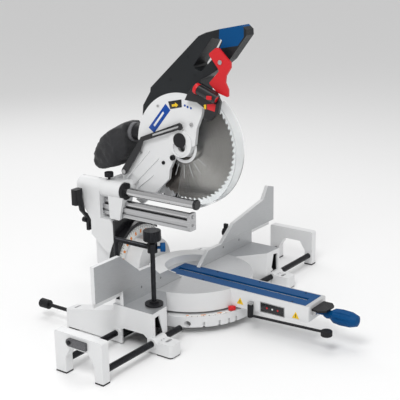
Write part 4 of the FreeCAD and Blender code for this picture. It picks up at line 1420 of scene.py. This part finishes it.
    def bag_cuff(self) -> None:
        """Elastic cuff round the outlet."""
        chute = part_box("dust_chute")[1]
        cuff = round_piece("bag_cuff", Axis.Y, (0.0, chute.z - 0.024), 0.0275, chute.y - 0.006,
                           chute.y + 0.006, 0.002, 60)
        add(cuff, "head", self.paints.patch)


@dataclass
class RailTrim:
    """Screws on the column's rail housing and the rail beam's end."""

    paints: Paints
    radius: float = 0.0042

    def build(self) -> None:
        """Build the screws."""
        low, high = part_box("upper_rail")
        x = (low.x + high.x) / 2
        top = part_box("column")[1].z
        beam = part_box("rail_beam")[0]
        for i, y in enumerate((0.252, 0.312)):
            screw = screw_piece(f"housing_screw_{i}", Axis.Z, (x, y), self.radius, top - 0.0008,
                                top + 0.0003, 1)
            add(screw, "bevel_column", self.paints.zinc)
        for i, z in enumerate((beam.z + 0.014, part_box("lower_rail")[1].z - 0.0095)):
            screw = screw_piece(f"beam_screw_{i}", Axis.Y, (x, z), self.radius, beam.y - 0.0112,
                                beam.y - 0.0088, -1)
            add(screw, "bevel_column", self.paints.zinc)


@dataclass
class SupportPads:
    """Rubber pads under the legs of the two extension supports."""

    paints: Paints
    proud: float = 0.0003
    height: float = 0.004
    legs: tuple[Point2, ...] = ((-0.136, -0.110), (-0.016, 0.018))

    def build(self) -> None:
        """Build two pads for each support."""
        for side in ("left", "right"):
            low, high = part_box(f"{side}_support_stand")
            for i, (front, back) in enumerate(self.legs):
                outline = rectangle(low.x - self.proud, front - self.proud, high.x + self.proud,
                                    back + self.proud)
                pad = outline_piece(f"{side}_support_pad_{i}", Axis.Z, outline, 0.0, self.height, 0.0002)
                add(pad, f"{side}_support", self.paints.rubber)


# ---- studio -------------------------------------------------------------
@dataclass(frozen=True)
class Lamp:
    """A square area light, with its side in metres and its power in watts."""

    name: str
    place: Point3
    size: float
    power: float

    def build(self, target: Point3) -> None:
        """Hang the lamp so that it looks at a target.

        Args:
            target: The point it looks at.
        """
        data = bpy.data.lights.new(self.name, "AREA")
        data.size = self.size
        data.energy = self.power
        lamp = bpy.data.objects.new(self.name, data)
        bpy.context.scene.collection.objects.link(lamp)
        lamp.location = self.place
        aim = Vector(target) - Vector(self.place)
        lamp.rotation_euler = aim.to_track_quat("-Z", "Y").to_euler()


@dataclass
class Studio:
    """Camera, floor and lights."""

    eye: Point3 = (-2.0186, -1.5411, 1.0633)
    azimuth: float = -53.66
    elevation: float = 16.43
    roll: float = -0.96
    lens: float = 85.7
    target: Point3 = (0.0, 0.0, 0.3)
    sky: float = 0.62
    lamps: tuple[Lamp, ...] = (
        Lamp("key", (-1.9, -0.7, 2.6), 1.0, 34.0), Lamp("fill", (1.9, -2.0, 1.5), 1.8, 6.0),
        Lamp("top", (0.1, 0.2, 2.9), 1.8, 15.0), Lamp("back", (1.2, 2.2, 1.9), 1.4, 9.0))

    def build(self) -> None:
        """Set up the camera, the floor and the lights."""
        self.camera()
        self.floor()
        for lamp in self.lamps:
            lamp.build(self.target)
        world = bpy.data.worlds.new("studio")
        bpy.context.scene.world = world
        world.use_nodes = True
        background = world.node_tree.nodes["Background"]
        background.inputs["Color"].default_value = (1.0, 1.0, 1.0, 1.0)
        background.inputs["Strength"].default_value = self.sky
        bpy.context.scene.view_settings.view_transform = "Standard"

    def camera(self) -> None:
        """Camera at its fitted place and angle."""
        a, e, r = (math.radians(v) for v in (self.azimuth, self.elevation, self.roll))
        right = Vector((math.cos(a), math.sin(a), 0))
        up = Vector((-math.sin(a) * math.sin(e), math.cos(a) * math.sin(e), math.cos(e)))
        back = Vector((math.sin(a) * math.cos(e), -math.cos(a) * math.cos(e), math.sin(e)))
        across = right * math.cos(r) + up * math.sin(r)
        above = -right * math.sin(r) + up * math.cos(r)
        data = bpy.data.cameras.new("camera")
        data.lens = self.lens
        data.sensor_width = 36.0
        cam = bpy.data.objects.new("camera", data)
        bpy.context.scene.collection.objects.link(cam)
        cam.matrix_world = Matrix((
            (across.x, above.x, back.x, self.eye[0]), (across.y, above.y, back.y, self.eye[1]),
            (across.z, above.z, back.z, self.eye[2]), (0, 0, 0, 1)))
        bpy.context.scene.camera = cam

    def floor(self) -> None:
        """Plain pale floor."""
        deselect()
        bpy.ops.mesh.primitive_plane_add(size=24.0, location=(0, 0, 0))
        plane = bpy.context.object
        plane.name = "floor"
        finish = Finish("pale_floor").put(Base_Color=(0.93, 0.93, 0.93, 1.0), Roughness=0.9)
        dress(plane, finish.material)


def main() -> None:
    """Build the looks in order."""
    logging.basicConfig(level=logging.INFO)
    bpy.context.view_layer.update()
    low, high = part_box("saw_blade")
    centre = (low + high) / 2
    table_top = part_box("kerf_strip")[1].z
    paints = Paints(centre, table_top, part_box("fixed_fence")[0].y)
    CarriedNodes(paints).dress_all()
    Table(paints).build()
    Head(paints, centre).build()
    RailTrim(paints).build()
    SupportPads(paints).build()
    Studio().build()


if __name__ == "__main__":
    main()
